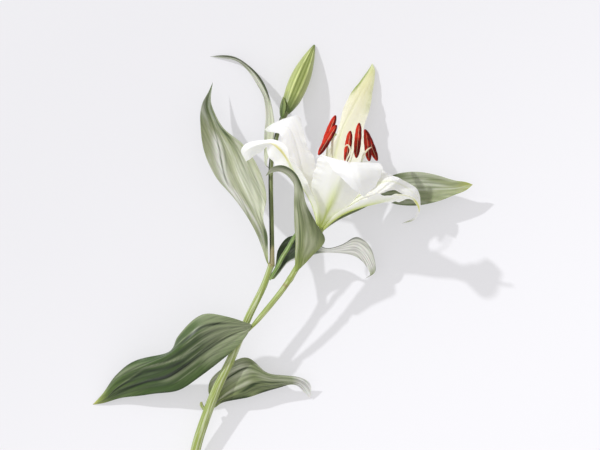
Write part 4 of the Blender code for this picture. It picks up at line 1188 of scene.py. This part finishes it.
class LILY_OT_petals(bpy.types.Operator):
    """Build the six petals of the open flower"""
    bl_idname = "lily.petals"
    bl_label = "Petals"

    def execute(self, context):
        settings = context.scene.lily.petal
        for seed, (name, turn, whorl, free) in enumerate(TEPALS):
            look = PETAL_LOOKS[name]
            inner_above = 90 < turn < 270
            rib_way = 1.0 if inner_above else -1.0

            def relief(u, v, length, half, look=look, seed=seed, rib_way=rib_way):
                open_part = ramp(v, 0.3, 0.5) * ramp(1 - v, 0.0, 0.12)
                waves = 2 * math.pi * v * length * MM / settings.ruffle_length
                ruffle = np.sin(waves + seed * 2.1 + 1.3 * u) + 0.4 * np.sin(waves * 2.3 + seed)
                rib = bell(u, 0.1) * ramp(1 - v, 0.0, 0.3)
                pleats = 0.05 * np.cos(u * 17) * ramp(1 - abs(u), 0.0, 0.3) * ramp(v, 0.02, 0.2)
                depth = np.clip(half / 12, 0.1, 1.0)
                lift = abs(u) ** 4 * ruffle * open_part * settings.ruffle / MM
                lift = lift * np.clip(half / 14, 0.0, 1.0)
                lift = lift - rib_way * rib * depth * settings.rib / MM + pleats * depth
                end = look["rib_end"]
                green = bell(u, look["rib_width"]) * ramp(1 - v, 1 - end - 0.01, 1 - end * 0.3)
                return lift, green, strokes(look.get("yellow", ()), u, v)
            blade(name, tube_rows(turn, whorl) + [list(row) for row in free], 150, 49,
                  settings.thickness / MM, settings.edge / MM, relief,
                  petal_material(name, look, settings, seed * 5.3), inner_above)
        return {"FINISHED"}


class LILY_OT_stalks(bpy.types.Operator):
    """Build the stem, the two long stalks, the side stalk and the broken leaf stalk"""
    bl_idname = "lily.stalks"
    bl_label = "Stem and stalks"

    def execute(self, context):
        settings = context.scene.lily.stalk
        rib = settings.rib / MM

        def ribbed(count, radius):
            def outline(angle, share):
                return 1 + rib / radius * np.cos(count * angle + 2.5 * share)
            return outline

        green = settings.stem_colour
        # The colour after the pale one is each stalk's painted shade down one side, and the number after it
        # how much of it.
        stem = stem_material("main stem", green, "d3dab8", "86994c", 0.45, BROWN, 1.0)
        branch = stem_material("branch", green, "cfd8a4", "7f944a", 0.6, BROWN, 4.0)
        side = stem_material("side stalk", settings.side_colour, "b9cb93", "557236", 0.7, BROWN,
                             9.0)
        olive = stem_material("bud stalk", settings.stalk_colour, "8f9768", "1d2c0a", 0.95, STRAW,
                              7.0)

        def top_ring(angle, share):
            return 0.7 * ramp(share, 0.988, 0.994) * (0.7 + 0.3 * np.cos(5 * angle))

        def middle_node(angle, share):
            return 0.6 * bell(share - PEDICEL_NODE, 0.012)

        def side_node(angle, share):
            return 0.2 * bell(share - SIDE_NODE, 0.03)

        def papery(angle, share):
            return 0.65 * ramp(PAPERY_END - share, 0.0, 0.04) * (0.6 + 0.4 * np.sin(angle))

        def broken(angle, share):
            return 0.25 * ramp(share, 0.6, 1.0)

        stalk("main_stem", MAIN_STEM, 220, 40, ribbed(9, 3.3), stem, "stem_green", top_ring,
              CUT_SLANT)
        stalk("bud_stalk", rooted(BUD_STALK, *BUD_STALK_ENDS), 120, 28, ribbed(5, 1.8), olive,
              "stalk_olive", papery)
        stalk("flower_pedicel", rooted(FLOWER_PEDICEL, *PEDICEL_ENDS), 120, 28, ribbed(6, 2.2),
              branch, "stem_green", middle_node)
        stalk("side_stalk", rooted(SIDE_STALK, SIDE_STALK_END), 60, 20, ribbed(4, 1.2), side,
              "stem_green", side_node)
        stalk("leaf_stub", rooted(LEAF_STUB, LEAF_STUB_END), 24, 20, ribbed(5, 1.2), stem,
              "stem_green", broken)
        return {"FINISHED"}


class LILY_OT_bud(bpy.types.Operator):
    """Build the closed bud with its three outer segments"""
    bl_idname = "lily.bud"
    bl_label = "Bud"

    def execute(self, context):
        base, tip = np.array(BUD_BASE), np.array(BUD_TIP)
        table = np.array([(*(base + (tip - base) * share), radius) for share, radius in BUD_PROFILE])
        places = lengths(table[:, :3])
        route = eased(curve(table, places, np.linspace(0, places[-1], BUD_STEPS + 1)), 3)

        def from_seam(angle):
            third = 2 * math.pi / 3
            return abs((angle - BUD_TURN + third / 2) % third - third / 2)

        def outline(angle, share):
            away = from_seam(angle)
            grown = ramp(share, 0.02, 0.2) * ramp(1 - share, 0.0, 0.15)
            rim = 0.07 * bell(away - RIM_TURN, 0.1) - 0.06 * bell(away, 0.24) + 0.035 * bell(away, 0.07)
            return 1 - BUD_LOBES * np.cos(3 * away) + grown * rim

        def ridges(angle, share):
            away = from_seam(angle)
            flank = 0.2 * ramp(away, RIM_TURN + 0.1, RIM_TURN + 0.35)
            # Painted highlight along each rim (light), and a line of painted shade beside it (shaded).
            shaded = 0.5 * bell(away - RIM_TURN + 0.2, 0.08)
            light = 1.1 * bell(away - RIM_TURN, 0.09) + 0.3 + flank - shaded
            return np.clip(light * ramp(share, 0.0, 0.1), 0, 1)

        rings, angle = rings_along(route[:, :3], route[:, 3], 84, outline)
        share = np.linspace(0, 1, len(route))
        marks = stalk_marks(rings, route, angle, share, places[-1], ridges)
        skin("bud", rings, marks, bud_material(context.scene.lily.stalk))
        return {"FINISHED"}


class LILY_OT_stamens(bpy.types.Operator):
    """Build the six stamens: a filament and an anther each"""
    bl_idname = "lily.stamens"
    bl_label = "Stamens"

    def execute(self, context):
        settings = context.scene.lily.stamen
        pollen = anther_material(settings)
        pale = filament_material()
        half_width, half_depth = settings.width / MM / 2, settings.depth / MM / 2
        thin = settings.filament / MM / 2

        def lobes(angle, share):
            front = bell(np.sin(angle / 2), 0.16)
            back = bell(np.cos(angle / 2), 0.16)
            slits = bell(np.cos(angle), 0.1)
            twist = 0.03 * np.sin(9 * share * math.pi + 2 * angle)
            return 1 - 0.2 * front - 0.14 * back - 0.05 * slits + twist

        def lips(angle, share):
            return 0.6 * bell(np.sin(angle / 2), 0.03) * ramp(share, 0.05, 0.2) * ramp(1 - share, 0.05, 0.2)

        for i, (top, bottom, turn) in enumerate(STAMENS, 1):
            top, bottom = np.array(top, float), np.array(bottom, float)
            share = np.linspace(0.004, 0.996, 61)
            centres = top + (bottom - top) * share[:, None]
            radii = half_width * (1 - abs(2 * share - 1) ** ANTHER_BLUNT) ** 0.5
            rings, angle = rings_along(centres, radii, 40, lobes, flat=half_depth / half_width)
            route = np.column_stack((centres, radii))
            marks = stalk_marks(rings, route, angle, share, ANTHER_LENGTH, lips)
            skin(f"anther_{i}", rings, marks, pollen)
            foot, throat = (in_flower(reach, turn, out, out)
                            for reach, out in (FILAMENT_FOOT, FILAMENT_THROAT))
            joint = (top + bottom) / 2
            joint[2] -= half_depth + thin
            beyond = FRONT_FILAMENTS.get(i, (throat + (joint - throat) * FILAMENT_BEND, joint))
            table = [(*foot, FOOT_RADIUS), (*throat, thin)]
            table += [(*point, thin * 1.1) for point in beyond[:-1]]
            table.append((*beyond[-1], thin * 0.5))
            stalk(f"filament_{i}", table, 90, 16, None, pale, "filament_cream")
        return {"FINISHED"}


class LILY_OT_pistil(bpy.types.Operator):
    """Build the pistil: ovary, style and three-lobed stigma"""
    bl_idname = "lily.pistil"
    bl_label = "Pistil"

    def execute(self, context):
        stigma = np.array(STIGMA, float)
        bend = np.array(STYLE, float)
        table = [(*in_flower(reach, 0, 0, 0), radius) for reach, radius in OVARY]
        table += [(*(bend + (stigma - bend) * share), radius) for share, radius in STIGMA_PROFILE]

        def three_lobes(angle, share):
            return 1 + (0.2 * ramp(share, 0.9, 0.96) + 0.08) * np.cos(3 * angle)

        def sticky(angle, share):
            return ramp(share, 0.92, 0.97)

        stalk("pistil", table, 160, 36, three_lobes, bpy.data.materials["moist pale filament"],
              "filament_cream", sticky)
        return {"FINISHED"}


class LILY_OT_stage(bpy.types.Operator):
    """Set the camera, the pale floor and the soft light"""
    bl_idname = "lily.stage"
    bl_label = "Stage"

    def execute(self, context):
        settings = context.scene.lily.stage
        scene = context.scene
        mesh = bpy.data.meshes.new("floor")
        corners = [(x * FLOOR_REACH, y * FLOOR_REACH, 0) for x, y in ((-1, -1), (1, -1), (1, 1), (-1, 1))]
        mesh.from_pydata(corners, [], [(0, 1, 2, 3)])
        mesh.materials.append(floor_material(settings))
        floor = bpy.data.objects.new("floor", mesh)
        scene.collection.objects.link(floor)

        sun = bpy.data.lights.new("key", "SUN")
        sun.energy = settings.key
        sun.angle = settings.key_size
        key = bpy.data.objects.new("key", sun)
        flat = math.cos(settings.key_height)
        towards = Vector((KEY_WAY[0] * flat, KEY_WAY[1] * flat, -math.sin(settings.key_height)))
        key.rotation_euler = towards.to_track_quat("-Z", "Y").to_euler()
        scene.collection.objects.link(key)

        box = bpy.data.lights.new("overhead", "AREA")
        box.energy = settings.overhead
        box.size = settings.overhead_size
        overhead = bpy.data.objects.new("overhead", box)
        overhead.location = SOFTBOX_AT
        overhead.visible_camera = False
        scene.collection.objects.link(overhead)

        world = bpy.data.worlds.new("soft studio")
        world.use_nodes = True
        sky = world.node_tree.nodes["Background"]
        sky.inputs["Color"].default_value = four(linear("fffdf9"))
        sky.inputs["Strength"].default_value = settings.fill
        scene.world = world

        data = bpy.data.cameras.new("camera")
        data.lens = settings.lens
        data.sensor_width = 36.0
        data.clip_end = 50.0
        camera = bpy.data.objects.new("camera", data)
        camera.location = (CAMERA_OVER[0] * MM, CAMERA_OVER[1] * MM, settings.height)
        scene.collection.objects.link(camera)
        scene.camera = camera
        scene.view_settings.view_transform = "Standard"
        return {"FINISHED"}


class LILY_PT_panel(bpy.types.Panel):
    """Lily pieces, in the order that they are built"""
    bl_label = "White Lily"
    bl_idname = "LILY_PT_panel"
    bl_space_type = "VIEW_3D"
    bl_region_type = "UI"
    bl_category = "Lily"

    def draw(self, context):
        settings = context.scene.lily
        for operator, group in STEPS:
            box = self.layout.box()
            box.operator(operator)
            if group:
                held = getattr(settings, group)
                for key in type(held).__annotations__:
                    box.prop(held, key)


STEPS = (
    ("lily.stalks", "stalk"),
    ("lily.bud", ""),
    ("lily.leaves", "leaf"),
    ("lily.petals", "petal"),
    ("lily.stamens", "stamen"),
    ("lily.pistil", ""),
    ("lily.stage", "stage"),
)
CLASSES = (
    LilyLeafSettings, LilyPetalSettings, LilyStalkSettings, LilyStamenSettings, LilyStageSettings,
    LilySettings,
    LILY_OT_stalks, LILY_OT_bud, LILY_OT_leaves, LILY_OT_petals, LILY_OT_stamens, LILY_OT_pistil,
    LILY_OT_stage,
    LILY_PT_panel,
)


def register():
    for cls in CLASSES:
        bpy.utils.register_class(cls)
    bpy.types.Scene.lily = PointerProperty(type=LilySettings)


def unregister():
    del bpy.types.Scene.lily
    for cls in reversed(CLASSES):
        bpy.utils.unregister_class(cls)


def main():
    register()
    for operator, _ in STEPS:
        group, action = operator.split(".")
        getattr(getattr(bpy.ops, group), action)()


if __name__ == "__main__":
    main()
